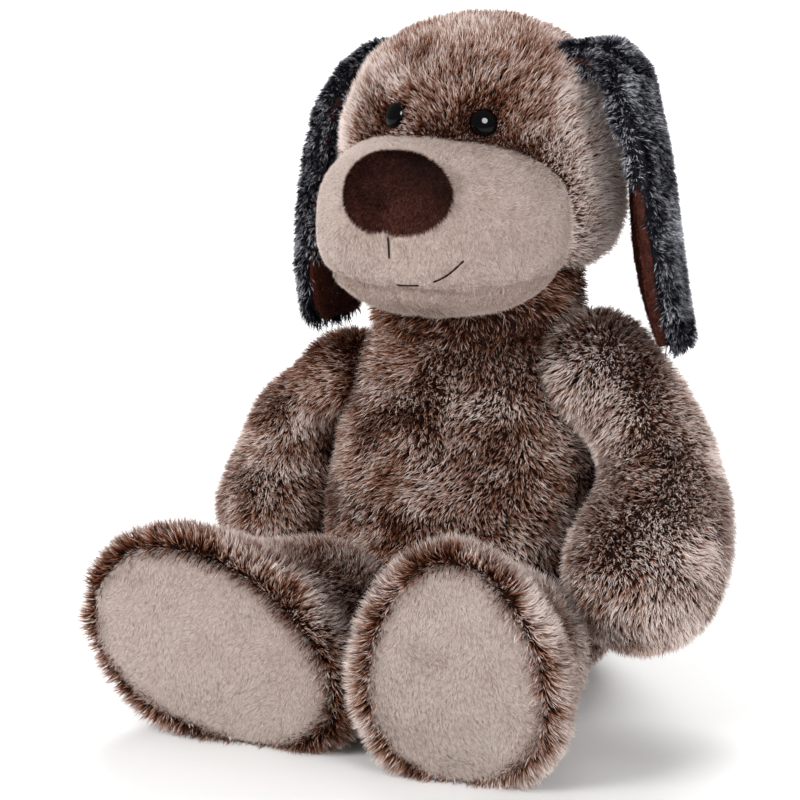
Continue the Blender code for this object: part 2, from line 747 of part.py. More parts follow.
def ear_rows(ear, outside, trim):
    """Return one face of an ear as rows of points, standing off from its middle line.

    The rows follow the ear's path over its crest and down.  Each row runs across the ear, its
    front end turned outwards once the ear hangs, and is cupped slightly towards the head.
    """
    path = smooth_values(EAR_PATH, 9)
    x = EAR_ROOT_X + path[:, 0] * ear.spread
    z = EAR_ROOT_Z - path[:, 1] * ear.length
    middle = np.column_stack([x, np.zeros(len(path)), z])
    heading = np.gradient(middle, axis=0)
    heading /= np.linalg.norm(heading, axis=1)[:, None]
    hang = np.clip(np.linspace(-0.15, 2.0, len(path)), 0.0, 1.0)
    rows = []
    for k, way in enumerate(heading):
        angle = math.radians(ear.turn) * hang[k]
        across = np.array([math.sin(angle), -math.cos(angle), 0.0])
        across -= way * across.dot(way)
        across /= np.linalg.norm(across)
        out = np.cross(across, way)
        row = []
        for share in np.linspace(-1.0, 1.0, 5):
            cup = -EAR_CUP * share ** 2
            at = middle[k] + across * share * (path[k, 2] - trim) + out * (outside + cup)
            row.append((ear.side * at[0], at[1] + ear.centre_y, at[2]))
        rows.append(row)
    return rows


def ear_layer(ear, outside, thickness, trims):
    """Make one ear layer, closed all round, between two faces trimmed by their own widths."""
    bm = bmesh.new()
    top = [[bm.verts.new(at) for at in row] for row in ear_rows(ear, outside, trims[0])]
    bottom = [[bm.verts.new(at) for at in row]
              for row in ear_rows(ear, outside - thickness, trims[1])]
    last = len(top[0]) - 1
    for k in range(len(top) - 1):
        for j in range(last):
            bm.faces.new((top[k][j], top[k][j + 1], top[k + 1][j + 1], top[k + 1][j]))
            bm.faces.new((bottom[k][j], bottom[k + 1][j], bottom[k + 1][j + 1], bottom[k][j + 1]))
        for j in (0, last):
            bm.faces.new((top[k][j], top[k + 1][j], bottom[k + 1][j], bottom[k][j]))
    for k in (0, len(top) - 1):
        for j in range(last):
            bm.faces.new((top[k][j], top[k][j + 1], bottom[k][j + 1], bottom[k][j]))
    face_outwards(bm)
    return bm


def build_ears(head):
    """Make both ears: a grey fur layer outside and a brown lining under it."""
    for ear in (LEFT_EAR, RIGHT_EAR):
        word = SIDE_NAMES[ear.side]
        hinge = empty(f"ear_{word}_hinge", ear_hinge(ear), head)
        outside = 0.5 * (EAR_OUTER_CLOTH + EAR_LINING_CLOTH + LAY_GAP)
        outer = ear_layer(ear, outside, EAR_OUTER_CLOTH, (EAR_EDGE_TRIM, 0.0))
        piece(f"ear_{word}_outer", outer, hinge, "grey_fur", GREY_FUR)
        under = outside - EAR_OUTER_CLOTH - LAY_GAP
        lining = ear_layer(ear, under, EAR_LINING_CLOTH, (0.0, EAR_EDGE_TRIM))
        piece(f"ear_{word}_lining", lining, hinge, "brown_velboa", BROWN_VELBOA)


# ---------------------------------------------------------------- limbs and tail
ARM_RINGS = {
    # outwards, depth, height, half width, half depth; the first ring is the shoulder's ball
    "left": (
        (SHOULDER.x, SHOULDER.y, SHOULDER.z, SHOULDER_RADIUS, SHOULDER_RADIUS),
        (0.0900, -0.0020, 0.1400, 0.0200, 0.0240),
        (0.1030, -0.0090, 0.1150, 0.0235, 0.0280),
        (0.1055, -0.0200, 0.0930, 0.0300, 0.0350),
        (0.1020, -0.0300, 0.0740, 0.0325, 0.0385),
    ),
    "right": (
        (SHOULDER.x, SHOULDER.y, SHOULDER.z, SHOULDER_RADIUS, SHOULDER_RADIUS),
        (0.0840, 0.0060, 0.1370, 0.0185, 0.0235),
        (0.0930, 0.0070, 0.1130, 0.0210, 0.0260),
        (0.0985, 0.0060, 0.0890, 0.0255, 0.0310),
        (0.1030, 0.0040, 0.0700, 0.0285, 0.0340),
    ),
}


ARM_SEAM_SLOPES = {"left": LEFT_ARM_SEAM_SLOPE, "right": RIGHT_ARM_SEAM_SLOPE}


def build_arms(frame):
    """Make both arms: a front and a back panel over a filling."""
    for side, word in SIDE_NAMES.items():
        shoulder = Vector((side * SHOULDER.x, SHOULDER.y, SHOULDER.z))
        hinge = empty(f"arm_{word}_pivot", shoulder, frame)
        stations = [Station(Vector((side * x, y, z)), half_width, half_depth)
                    for x, y, z, half_width, half_depth in ARM_RINGS[word]]
        form = limb_form(stations)
        slope = Vector((0.0, 1.0, ARM_SEAM_SLOPES[word]))
        piece(f"arm_{word}_front", panel_from(form, [Cut(shoulder, slope)]), hinge,
              "frosted_fur", FROSTED_FUR)
        piece(f"arm_{word}_back", panel_from(form, [Cut(shoulder, -slope)]), hinge,
              "frosted_fur", FROSTED_FUR)
        piece(f"arm_{word}_filling", filling_from(form), hinge, "fibrefill", FIBREFILL)
        form.free()


def build_legs(frame):
    """Make both legs: an inner and an outer panel, a sole pad and a filling."""
    for foot in (LEFT_FOOT, RIGHT_FOOT):
        word = SIDE_NAMES[foot.side]
        hip = Vector((foot.side * HIP.x, HIP.y, HIP.z))
        hinge = empty(f"leg_{word}_pivot", hip, frame)
        form = leg_form(foot)
        face = Vector(sole_frame(foot)[2])
        rim = foot.sole_centre - face * SOLE_SEAM_SETBACK
        behind_sole = Cut(rim, face)
        at = foot.sole_centre
        along = (foot.sole_centre - hip).cross(Vector((0.0, 0.0, 1.0))).normalized()
        piece(f"leg_{word}_inner", panel_from(form, [behind_sole, Cut(at, -along * foot.side)]),
              hinge, "frosted_fur", FROSTED_FUR)
        piece(f"leg_{word}_outer", panel_from(form, [behind_sole, Cut(at, along * foot.side)]),
              hinge, "frosted_fur", FROSTED_FUR)
        piece(f"sole_{word}", panel_from(form, [Cut(rim, -face)]), hinge,
              "beige_velboa", BEIGE_VELBOA)
        piece(f"leg_{word}_filling", filling_from(form), hinge, "fibrefill", FIBREFILL)
        form.free()


def build_tail(frame):
    """Make the short tail: a fur cover over a filling."""
    hinge = empty("tail_pivot", TAIL_ROOT, frame)
    middle = TAIL_ROOT.lerp(TAIL_TIP, 0.5) + Vector((0.0, TAIL_BOW, 0.0))
    form = limb_form([Station(TAIL_ROOT, TAIL_RADIUS, TAIL_RADIUS),
                      Station(middle, TAIL_RADIUS, TAIL_RADIUS),
                      Station(TAIL_TIP, 0.75 * TAIL_RADIUS, 0.75 * TAIL_RADIUS)],
                     rings=4, segments=10)
    for side, word in SIDE_NAMES.items():
        piece(f"tail_{word}", panel_from(form, [sides(side)], TAIL_CLOTH), hinge,
              "frosted_fur", FROSTED_FUR)
    core = filling_from(form, TAIL_CLOTH + LAY_GAP)
    piece("tail_filling", core, hinge, "fibrefill", FIBREFILL)
    form.free()


def main():
    """Build the dog."""
    clear_scene()
    frame = empty("dog_frame", Vector((0.0, 0.0, 0.0)))
    build_body(frame)
    neck = empty("neck_pivot", NECK_CENTRE, frame)
    piece("neck_filling", ball(NECK_CENTRE, NECK_RADIUS), neck, "fibrefill", FIBREFILL)
    head = empty("head_pivot", NECK_CENTRE, neck)
    build_head(head)
    build_ears(head)
    build_arms(frame)
    build_legs(frame)
    build_tail(frame)


main()
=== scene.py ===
"""Looks for a sitting plush dog: stuffed cloth skins, with fur and short pile grown on them.

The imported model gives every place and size.  Each stuffed part is a skin that cloth simulation
swells over its filling, and each furry or velvety cloth carries its own pile, strand by strand.
All lengths are metres, +Z is up, the dog faces -Y and its left side is +X.
"""

import json
import logging
import math
from collections.abc import Sequence
from dataclasses import dataclass, field
from enum import Enum
from itertools import product
from typing import Any

import bmesh
import bpy
import numpy as np
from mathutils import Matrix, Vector
from mathutils.bvhtree import BVHTree


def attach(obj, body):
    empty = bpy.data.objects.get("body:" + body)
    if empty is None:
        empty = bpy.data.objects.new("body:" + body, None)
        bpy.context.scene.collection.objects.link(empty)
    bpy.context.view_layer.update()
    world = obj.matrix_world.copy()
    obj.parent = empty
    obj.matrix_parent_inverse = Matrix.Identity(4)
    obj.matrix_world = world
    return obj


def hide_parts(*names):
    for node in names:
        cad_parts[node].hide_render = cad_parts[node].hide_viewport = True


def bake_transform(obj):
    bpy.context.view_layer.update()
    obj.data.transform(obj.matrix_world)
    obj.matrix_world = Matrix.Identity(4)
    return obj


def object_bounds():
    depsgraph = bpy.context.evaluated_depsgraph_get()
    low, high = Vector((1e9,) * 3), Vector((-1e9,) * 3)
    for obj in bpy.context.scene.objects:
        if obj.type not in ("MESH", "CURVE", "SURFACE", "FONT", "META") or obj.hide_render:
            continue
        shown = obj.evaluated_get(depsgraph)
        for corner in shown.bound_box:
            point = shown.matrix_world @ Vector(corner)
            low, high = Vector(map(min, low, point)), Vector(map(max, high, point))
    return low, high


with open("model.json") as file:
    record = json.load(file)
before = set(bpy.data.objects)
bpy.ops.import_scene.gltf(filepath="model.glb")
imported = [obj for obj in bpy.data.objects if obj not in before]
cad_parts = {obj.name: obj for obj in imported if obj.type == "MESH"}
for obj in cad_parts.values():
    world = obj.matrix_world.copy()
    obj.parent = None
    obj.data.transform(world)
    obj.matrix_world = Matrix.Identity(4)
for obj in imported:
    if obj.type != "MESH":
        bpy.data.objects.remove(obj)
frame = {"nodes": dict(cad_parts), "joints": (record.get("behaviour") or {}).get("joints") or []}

LOG = logging.getLogger("plush_dog")
CAD_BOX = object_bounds()
STRAND_MAP = "OFBake"      # the strands' map: tint across, root to tip upwards
CLOTH_STEPS = 20           # how long the simulation of the stuffing runs
PILE_ROOM = np.array([0.0085, 0.0080, 0.0180])    # how far strands may pass the CAD box
PILE_LOW = np.array(CAD_BOX[0]) - PILE_ROOM * np.array([1.0, 1.0, 0.0])
PILE_HIGH = np.array(CAD_BOX[1]) + PILE_ROOM

Array = np.ndarray
Colour = tuple[float, float, float]


# ------------------------------------------------------------------ colours and finishes
def paint(red: int, green: int, blue: int) -> Colour:
    """Return the linear colour of three display levels from 0 to 255.

    Args:
        red: the display level of red.
        green: the display level of green.
        blue: the display level of blue.

    Returns:
        The linear colour.
    """
    levels = np.array([red, green, blue]) / 255.0
    linear = np.where(levels <= 0.04045, levels / 12.92, ((levels + 0.055) / 1.055) ** 2.4)
    return tuple(float(value) for value in linear)


@dataclass(frozen=True)
class StrandFinish:
    """A pile's colours.

    Attributes:
        name: the material's name.
        slot: the record's material slot.
        stops: shares of the way from root to tip, each with its colour.
        reach: how far a strand's own tint moves it along those stops.
        roughness: the strands' roughness.
        sheen: weight of the soft edge light.
    """

    name: str
    slot: str
    stops: tuple[tuple[float, Colour], ...]
    reach: float
    roughness: float = 0.8
    sheen: float = 0.0


@dataclass(frozen=True)
class ClothFinish:
    """The woven backing under a pile.

    Attributes:
        name: the material's name.
        slot: the record's material slot.
        dark: the colour in the weave's hollows.
        light: the colour on its threads.
        grain: size of the mottling.
        relief: height of the bump.
        sheen: weight of the soft edge light.
    """

    name: str
    slot: str
    dark: Colour
    light: Colour
    grain: float
    relief: float
    sheen: float = 0.0


@dataclass(frozen=True)
class PlasticFinish:
    """A moulded plastic: its colour, its roughness between two values, and its shine."""

    name: str
    slot: str
    colour: Colour
    smooth: float
    rough: float
    shine: float


FROSTED_FUR = StrandFinish(
    "frosted_fur_strands", "frosted_fur",
    ((0.00, paint(26, 8, 3)), (0.30, paint(74, 32, 14)), (0.50, paint(126, 75, 50)),
     (0.68, paint(168, 130, 112)), (0.84, paint(210, 188, 178)), (1.00, paint(236, 222, 216))),
    0.92)
GREY_FUR = StrandFinish(
    "grey_fur_strands", "grey_fur",
    ((0.00, paint(6, 6, 9)), (0.42, paint(20, 20, 27)), (0.64, paint(62, 63, 73)),
     (0.84, paint(146, 147, 156)), (1.00, paint(208, 208, 214))), 0.95)
BROWN_PILE = StrandFinish(
    "brown_velboa_pile", "brown_velboa",
    ((0.00, paint(34, 12, 8)), (0.50, paint(74, 36, 27)), (1.00, paint(118, 70, 56))), 0.70)
BEIGE_PILE = StrandFinish(
    "beige_velboa_pile", "beige_velboa",
    ((0.00, paint(146, 124, 114)), (0.50, paint(188, 170, 161)), (1.00, paint(222, 209, 202))),
    0.55)
NOSE_PILE = StrandFinish(
    "nose_plush_pile", "nose_plush",
    ((0.00, paint(18, 6, 4)), (0.50, paint(58, 28, 22)), (1.00, paint(104, 62, 52))), 0.75)

FUR_BACKING = ClothFinish("frosted_fur_backing", "frosted_fur", paint(24, 10, 7),
                          paint(58, 30, 22), 0.004, 0.0006)
GREY_BACKING = ClothFinish("grey_fur_backing", "grey_fur", paint(8, 8, 11), paint(30, 30, 37),
                           0.004, 0.0006)
BROWN_BACKING = ClothFinish("brown_velboa_backing", "brown_velboa", paint(40, 16, 11),
                            paint(78, 40, 30), 0.003, 0.0003)
BEIGE_BACKING = ClothFinish("beige_velboa_backing", "beige_velboa", paint(158, 137, 127),
                            paint(196, 178, 169), 0.005, 0.0003, 0.2)
NOSE_BACKING = ClothFinish("nose_plush_backing", "nose_plush", paint(26, 9, 6),
                           paint(60, 30, 23), 0.003, 0.0003)
STUFFING = ClothFinish("fibrefill_tufts", "fibrefill", paint(206, 206, 200),
                       paint(246, 246, 242), 0.006, 0.0015, 0.3)
DARK_THREAD = ClothFinish("dark_thread_twist", "dark_thread", paint(16, 8, 6),
                          paint(52, 30, 24), 0.0007, 0.0001)
EYE_PLASTIC = PlasticFinish("eye_plastic_gloss", "eye_plastic", paint(4, 3, 4), 0.05, 0.07,
                            0.14)
WASHER_PLASTIC = PlasticFinish("washer_plastic_moulded", "washer_plastic", paint(224, 224, 218),
                               0.38, 0.52, 0.5)


class Wire:
    """A number on its way through a material's nodes; Python's operators add its sums."""

    def __init__(self, look: "Look", socket: bpy.types.NodeSocket) -> None:
        """Wrap an output socket of a look."""
        self.look = look
        self.socket = socket

    def _sum(self, operation: str, *terms: "Wire | float") -> "Wire":
        """Add a Math node of an operation on some terms and return its result.

        Args:
            operation: the Math node's operation.
            terms: the numbers or wires that it takes.

        Returns:
            The result.
        """
        made = self.look.node("ShaderNodeMath", {"operation": operation},
                              dict(enumerate(terms)))
        return Wire(self.look, made.outputs[0])

    def __add__(self, other: "Wire | float") -> "Wire":
        """Return self + other."""
        return self._sum("ADD", self, other)

    def __radd__(self, other: float) -> "Wire":
        """Return other + self."""
        return self._sum("ADD", other, self)

    def __sub__(self, other: "Wire | float") -> "Wire":
        """Return self - other."""
        return self._sum("SUBTRACT", self, other)

    def __rsub__(self, other: float) -> "Wire":
        """Return other - self."""
        return self._sum("SUBTRACT", other, self)

    def __mul__(self, other: "Wire | float") -> "Wire":
        """Return self * other."""
        return self._sum("MULTIPLY", self, other)

    def __rmul__(self, other: float) -> "Wire":
        """Return other * self."""
        return self._sum("MULTIPLY", other, self)


class Look:
    """One Principled material and the nodes that drive it."""

    def __init__(self, name: str, roughness: float) -> None:
        """Make a material with a plain roughness.

        Args:
            name: the material's name.
            roughness: its roughness.
        """
        self.material = bpy.data.materials.new(name)
        self.material.use_nodes = True
        self.tree = self.material.node_tree
        self.shader = self.tree.nodes["Principled BSDF"]
        self.shader.inputs["Roughness"].default_value = roughness

    def node(self, kind: str, settings: dict[str, Any], inputs: dict[Any, Any]) -> bpy.types.Node:
        """Add a node.

        Args:
            kind: the node's type.
            settings: its properties, set first; "stops" holds a ramp's places and colours.
            inputs: its sockets' values, or the wires or sockets that feed them.

        Returns:
            The node.
        """
        made = self.tree.nodes.new(kind)
        for key, value in settings.items():
            if key == "stops":
                elements = made.color_ramp.elements
                while len(elements) < len(value):
                    elements.new(0.5)
                for element, (place, colour) in zip(elements, value):
                    element.position = place
                    element.color = (*colour, 1.0)
            else:
                setattr(made, key, value)
        for key, value in inputs.items():
            if isinstance(value, Wire):
                value = value.socket
            if isinstance(value, bpy.types.NodeSocket):
                self.tree.links.new(value, made.inputs[key])
            else:
                made.inputs[key].default_value = value
        return made

    def feed(self, socket: str, source: "Wire | bpy.types.NodeSocket") -> None:
        """Link a source to one of the shader's sockets."""
        plug = source.socket if isinstance(source, Wire) else source
        self.tree.links.new(plug, self.shader.inputs[socket])

    def noise(self, size: float, detail: float, stretch: Sequence[float] = (1, 1, 1)) -> Wire:
        """Add object-space noise of a feature size and return its value.

        Args:
            size: the feature size.
            detail: octaves of finer noise.
            stretch: how many times denser the noise is along each axis.

        Returns:
            The noise's value.
        """
        where = self.node("ShaderNodeTexCoord", {}, {}).outputs["Object"]
        turned = self.node("ShaderNodeMapping", {}, {"Vector": where, "Scale": tuple(stretch)})
        made = self.node("ShaderNodeTexNoise", {}, {"Vector": turned.outputs[0],
                                                    "Scale": 1.0 / size, "Detail": detail})
        return Wire(self, made.outputs[0])

    def ramp(self, key: Wire, stops: Sequence[tuple[float, Colour]]) -> bpy.types.NodeSocket:
        """Add a colour ramp over a key and return its colour."""
        return self.node("ShaderNodeValToRGB", {"stops": stops}, {"Fac": key}).outputs[0]

    def bump(self, height: Wire, distance: float) -> None:
        """Raise the surface by a height.

        Args:
            height: the height, from 0 to 1.
            distance: the bump's depth.
        """
        made = self.node("ShaderNodeBump", {}, {"Height": height, "Strength": 0.8,
                                                "Distance": distance})
        self.feed("Normal", made.outputs[0])


class Wardrobe:
    """Every material of the dog, each made once."""

    def __init__(self) -> None:
        """Start with no materials."""
        self.made: dict[str, bpy.types.Material] = {}

    def strands(self, finish: StrandFinish) -> bpy.types.Material:
        """Return a pile's material: its colour follows root to tip, moved by each tint.

        Args:
            finish: the pile's colours.

        Returns:
            The material.
        """
        if finish.name not in self.made:
            look = Look(finish.name, finish.roughness)
            place = look.node("ShaderNodeUVMap", {"uv_map": STRAND_MAP}, {}).outputs[0]
            parts = look.node("ShaderNodeSeparateXYZ", {}, {0: place})
            tint, along = (Wire(look, parts.outputs[k]) for k in (0, 1))
            key = along + (tint - 0.5) * finish.reach
            look.feed("Base Color", look.ramp(key, finish.stops))
            look.shader.inputs["Sheen Weight"].default_value = finish.sheen
            look.shader.inputs["Specular IOR Level"].default_value = 0.05
            self.made[finish.name] = look.material
        return self.made[finish.name]

    def cloth(self, finish: ClothFinish) -> bpy.types.Material:
        """Return a backing's material: two tones mottled by coarse and fine noise.

        Args:
            finish: the backing's colours and weave.

        Returns:
            The material.
        """
        if finish.name not in self.made:
            look = Look(finish.name, 0.9)
            coarse = look.noise(finish.grain, 4.0)
            fine = look.noise(finish.grain * 0.2, 2.0, (1.0, 1.0, 0.35))
            mottle = coarse * 0.6 + fine * 0.4
            look.feed("Base Color", look.ramp(mottle, ((0.38, finish.dark),
                                                       (0.62, finish.light))))
            look.feed("Roughness", 0.82 + mottle * 0.18)
            look.bump(mottle, finish.relief)
            look.shader.inputs["Sheen Weight"].default_value = finish.sheen
            look.shader.inputs["Specular IOR Level"].default_value = 0.1
            self.made[finish.name] = look.material
        return self.made[finish.name]

    def plastic(self, finish: PlasticFinish) -> bpy.types.Material:
        """Return a plastic's material, whose roughness drifts with handling marks.

        Args:
            finish: the plastic's colour and gloss.

        Returns:
            The material.
        """
        if finish.name not in self.made:
            look = Look(finish.name, finish.smooth)
            marks = look.noise(0.004, 5.0)
            look.feed("Base Color", look.ramp(marks, ((0.3, finish.colour),
                                                      (0.8, tuple(1.25 * c for c in
                                                                  finish.colour)))))
            look.feed("Roughness", finish.smooth + marks * (finish.rough - finish.smooth))
            look.shader.inputs["Specular IOR Level"].default_value = finish.shine
            self.made[finish.name] = look.material
        return self.made[finish.name]


# ------------------------------------------------------------------ arithmetic on points
def unit(vectors: Array) -> Array:
    """Return vectors scaled to length 1."""
    return vectors / np.maximum(np.linalg.norm(vectors, axis=-1, keepdims=True), 1e-9)


def dot(a: Array, b: Array) -> Array:
    """Return the row-by-row dot product as a column."""
    return np.sum(a * b, axis=-1, keepdims=True)


def smooth_step(values: Array, low: float, high: float) -> Array:
    """Return 0 below low, 1 above high, and 3t^2 - 2t^3 between them."""
    t = np.clip((values - low) / (high - low), 0.0, 1.0)
    return t * t * (3.0 - 2.0 * t)


def scrambled(cells: Array, seed: int) -> Array:
    """Return a fixed value from 0 to 1 for every whole-number cell, by mixing its bits.

    Args:
        cells: whole-number cells, three numbers each.
        seed: picks another set of values.

    Returns:
        One value for each cell.
    """
    mixed = (cells[..., 0] * 73856093) ^ (cells[..., 1] * 19349663)
    mixed = mixed ^ (cells[..., 2] * 83492791) ^ (seed * 2654435761)
    mixed = mixed & 0xFFFFFFFF
    for shift, factor in ((16, 0x45D9F3B), (15, 0x2C1B3C6D)):
        mixed = ((mixed ^ (mixed >> shift)) * factor) & 0xFFFFFFFF
    return (mixed ^ (mixed >> 16)) / 4294967295.0


def drift(points: Array, size: float, seed: int) -> Array:
    """Smooth noise from -1 to 1.

    Random values stand at the corners of a cubic lattice, blended by 3t^2 - 2t^3 between them.

    Args:
        points: where the noise is read.
        size: the lattice's spacing.
        seed: picks the random values.

    Returns:
        One value for each point.
    """
    at = points / size
    cell = np.floor(at).astype(np.int64)
    part = at - cell
    part = part * part * (3.0 - 2.0 * part)
    total = np.zeros(len(points))
    for corner in product((0, 1), repeat=3):
        weight = np.prod(np.where(np.array(corner) == 1, part, 1.0 - part), axis=1)
        total += weight * (2.0 * scrambled(cell + np.array(corner), seed) - 1.0)
    return total


def tuft_middles(points: Array, size: float, seed: int) -> Array:
    """Return the middle of the tuft that each point belongs to.

    One middle is scattered into every cell of a cubic lattice, and a point takes the nearest.

    Args:
        points: the strands' roots.
        size: the lattice's spacing.
        seed: picks the middles.

    Returns:
        One middle for each point.
    """
    cell = np.floor(points / size).astype(np.int64)
    best = np.full(len(points), np.inf)
    chosen = points.copy()
    for step in product((-1, 0, 1), repeat=3):
        there = cell + np.array(step)
        scatter = np.stack([scrambled(there, seed + k) for k in range(3)], axis=1)
        middle = (there + scatter) * size
        away = np.sum((middle - points) ** 2, axis=1)
        nearer = away < best
        best = np.where(nearer, away, best)
        chosen[nearer] = middle[nearer]
    return chosen


def nearest_gap(points: Array, cloud: Array) -> Array:
    """Return each point's distance to the nearest point of a cloud, some rows at a time.

    Args:
        points: where the distance is wanted.
        cloud: the points that it is measured to.

    Returns:
        One distance for each point.
    """
    gaps = []
    for block in np.array_split(points, max(1, len(points) // 400)):
        away = np.sum((block[:, None, :] - cloud[None, :, :]) ** 2, axis=2)
        gaps.append(np.sqrt(away.min(axis=1)))
    return np.concatenate(gaps)


# ------------------------------------------------------------------ meshes
def mesh_object(name: str, points: Array, corners: Array, starts: Array) -> bpy.types.Object:
    """Make a smooth mesh object from whole arrays.

    Args:
        name: the piece's name.
        points: its vertices.
        corners: the vertex of every face corner, face after face.
        starts: each face's first corner.

    Returns:
        The object, at the origin.
    """
    mesh = bpy.data.meshes.new(name)
    mesh.vertices.add(len(points))
    mesh.vertices.foreach_set("co", np.ascontiguousarray(points, np.float32).ravel())
    mesh.loops.add(len(corners))
    mesh.loops.foreach_set("vertex_index", np.ascontiguousarray(corners, np.int32))
    mesh.polygons.add(len(starts))
    mesh.polygons.foreach_set("loop_start", np.ascontiguousarray(starts, np.int32))
    mesh.update(calc_edges=True)
    mesh.shade_smooth()
    made = bpy.data.objects.new(name, mesh)
    bpy.context.scene.collection.objects.link(made)
    return made


def closed_grid(name: str, rows: Array, first: Array, last: Array) -> bpy.types.Object:
    """Make a closed round form from rings of points and a point at each end.

    Args:
        name: the piece's name.
        rows: rings, points round each ring, and three numbers each.
        first: the end point before the first ring.
        last: the end point after the last ring.

    Returns:
        The object, facing outwards.
    """
    rings, round_count = rows.shape[:2]
    points = np.vstack([rows.reshape(-1, 3), first, last])
    k = np.arange(round_count)
    on = (k + 1) % round_count
    low = (np.arange(rings - 1) * round_count)[:, None]
    quads = np.stack([low + k, low + on, low + round_count + on, low + round_count + k], axis=-1)
    end = rings * round_count
    start_fan = np.stack([np.full(round_count, end), on, k], axis=-1)
    top = (rings - 1) * round_count
    last_fan = np.stack([np.full(round_count, end + 1), top + k, top + on], axis=-1)
    corners = np.concatenate([quads.ravel(), start_fan.ravel(), last_fan.ravel()])
    sizes = np.concatenate([np.full(quads.size // 4, 4), np.full(2 * round_count, 3)])
    starts = np.concatenate([[0], np.cumsum(sizes)[:-1]])
    made = mesh_object(name, points, corners, starts)
    face_outwards(made)
    return made


def face_outwards(piece: bpy.types.Object) -> None:
    """Turn every face of a closed piece to point out of it.

    Args:
        piece: the closed piece.
    """
    bm = bmesh.new()
    bm.from_mesh(piece.data)
    bmesh.ops.recalc_face_normals(bm, faces=bm.faces[:])
    if bm.calc_volume(signed=True) < 0.0:
        bmesh.ops.reverse_faces(bm, faces=bm.faces[:])
    bm.to_mesh(piece.data)
    bm.free()


def corners_of(*nodes: str) -> Array:
    """Return every vertex of some CAD nodes.

    Args:
        nodes: the nodes' names.

    Returns:
        All their vertices, one row each.
    """
    clouds = []
    for node in nodes:
        mesh = frame["nodes"][node].data
        cloud = np.empty(3 * len(mesh.vertices), np.float32)
        mesh.vertices.foreach_get("co", cloud)
        clouds.append(cloud.reshape(-1, 3).astype(float))
    return np.vstack(clouds)


def wrapped(name: str, *nodes: str) -> bpy.types.Object:
    """Make the tight convex wrapping of some CAD nodes.

    Args:
        name: the new piece's name.
        nodes: the nodes' names.

    Returns:
        The wrapping, facing outwards.
    """
    mesh = bpy.data.meshes.new(name)
    mesh.from_pydata(corners_of(*nodes), [], [])
    bm = bmesh.new()
    bm.from_mesh(mesh)
    hull = bmesh.ops.convex_hull(bm, input=bm.verts[:])
    inside = [item for item in hull["geom_interior"] if isinstance(item, bmesh.types.BMVert)]
    bmesh.ops.delete(bm, geom=inside, context="VERTS")
    bm.to_mesh(mesh)
    bm.free()
    made = bpy.data.objects.new(name, mesh)
    bpy.context.scene.collection.objects.link(made)
    face_outwards(made)
    return made


def grown_copy(name: str, node: str, amount: float) -> bpy.types.Object:
    """Make a copy of a closed CAD node, joined up and grown by an amount all round.

    Args:
        name: the new piece's name.
        node: the node's name.
        amount: how far it grows along its normals.

    Returns:
        The copy.
    """
    bm = bmesh.new()
    bm.from_mesh(frame["nodes"][node].data)
    bmesh.ops.remove_doubles(bm, verts=bm.verts[:], dist=1e-5)
    bmesh.ops.recalc_face_normals(bm, faces=bm.faces[:])
    mesh = bpy.data.meshes.new(name)
    bm.to_mesh(mesh)
    bm.free()
    made = bpy.data.objects.new(name, mesh)
    bpy.context.scene.collection.objects.link(made)
    write_points(made, read_points(made) + read_normals(made) * amount)
    return made


def read_points(piece: bpy.types.Object) -> Array:
    """Return a piece's vertices.

    Args:
        piece: the piece.

    Returns:
        One row for each vertex.
    """
    points = np.empty(3 * len(piece.data.vertices), np.float32)
    piece.data.vertices.foreach_get("co", points)
    return points.reshape(-1, 3).astype(float)


def write_points(piece: bpy.types.Object, points: Array) -> None:
    """Put new vertices into a piece, never below the floor.

    Args:
        piece: the piece.
        points: one row for each vertex.
    """
    placed = points.copy()
    placed[:, 2] = np.maximum(placed[:, 2], 0.0)
    piece.data.vertices.foreach_set("co", placed.astype(np.float32).ravel())
    piece.data.update()


def read_normals(piece: bpy.types.Object) -> Array:
    """Return a piece's vertex normals.

    Args:
        piece: the piece.

    Returns:
        One row for each vertex.
    """
    normals = np.empty(3 * len(piece.data.vertices), np.float32)
    piece.data.vertex_normals.foreach_get("vector", normals)
    return normals.reshape(-1, 3).astype(float)


def settle(piece: bpy.types.Object) -> None:
    """Apply a piece's modifiers to its mesh.

    Args:
        piece: the piece.
    """
    bpy.context.view_layer.update()
    graph = bpy.context.evaluated_depsgraph_get()
    finished = bpy.data.meshes.new_from_object(piece.evaluated_get(graph))
    piece.modifiers.clear()
    piece.data = finished
    finished.name = piece.name
    finished.shade_smooth()


@dataclass(frozen=True)
class Swell:
    """How a skin is stuffed.

    Attributes:
        voxel: spacing of the remeshed skin.
        pressure: the stuffing's pressure.
        cap: the farthest that a point may move.
        least: the share of the cap that every point moves outwards at least, so that the skin
            covers its stuffing.
        shrink: how much smaller the skin starts.
        relax: smoothing steps before the stuffing.
        levels: subdivisions afterwards.
        fill: how tight the piece is, from 0 to 1; not used.
    """

    voxel: float = 0.005
    pressure: float = 4.0
    cap: float = 0.0024
    least: float = 0.96
    shrink: float = 0.0014
    relax: int = 6
    levels: int = 1
    fill: float = 0.7


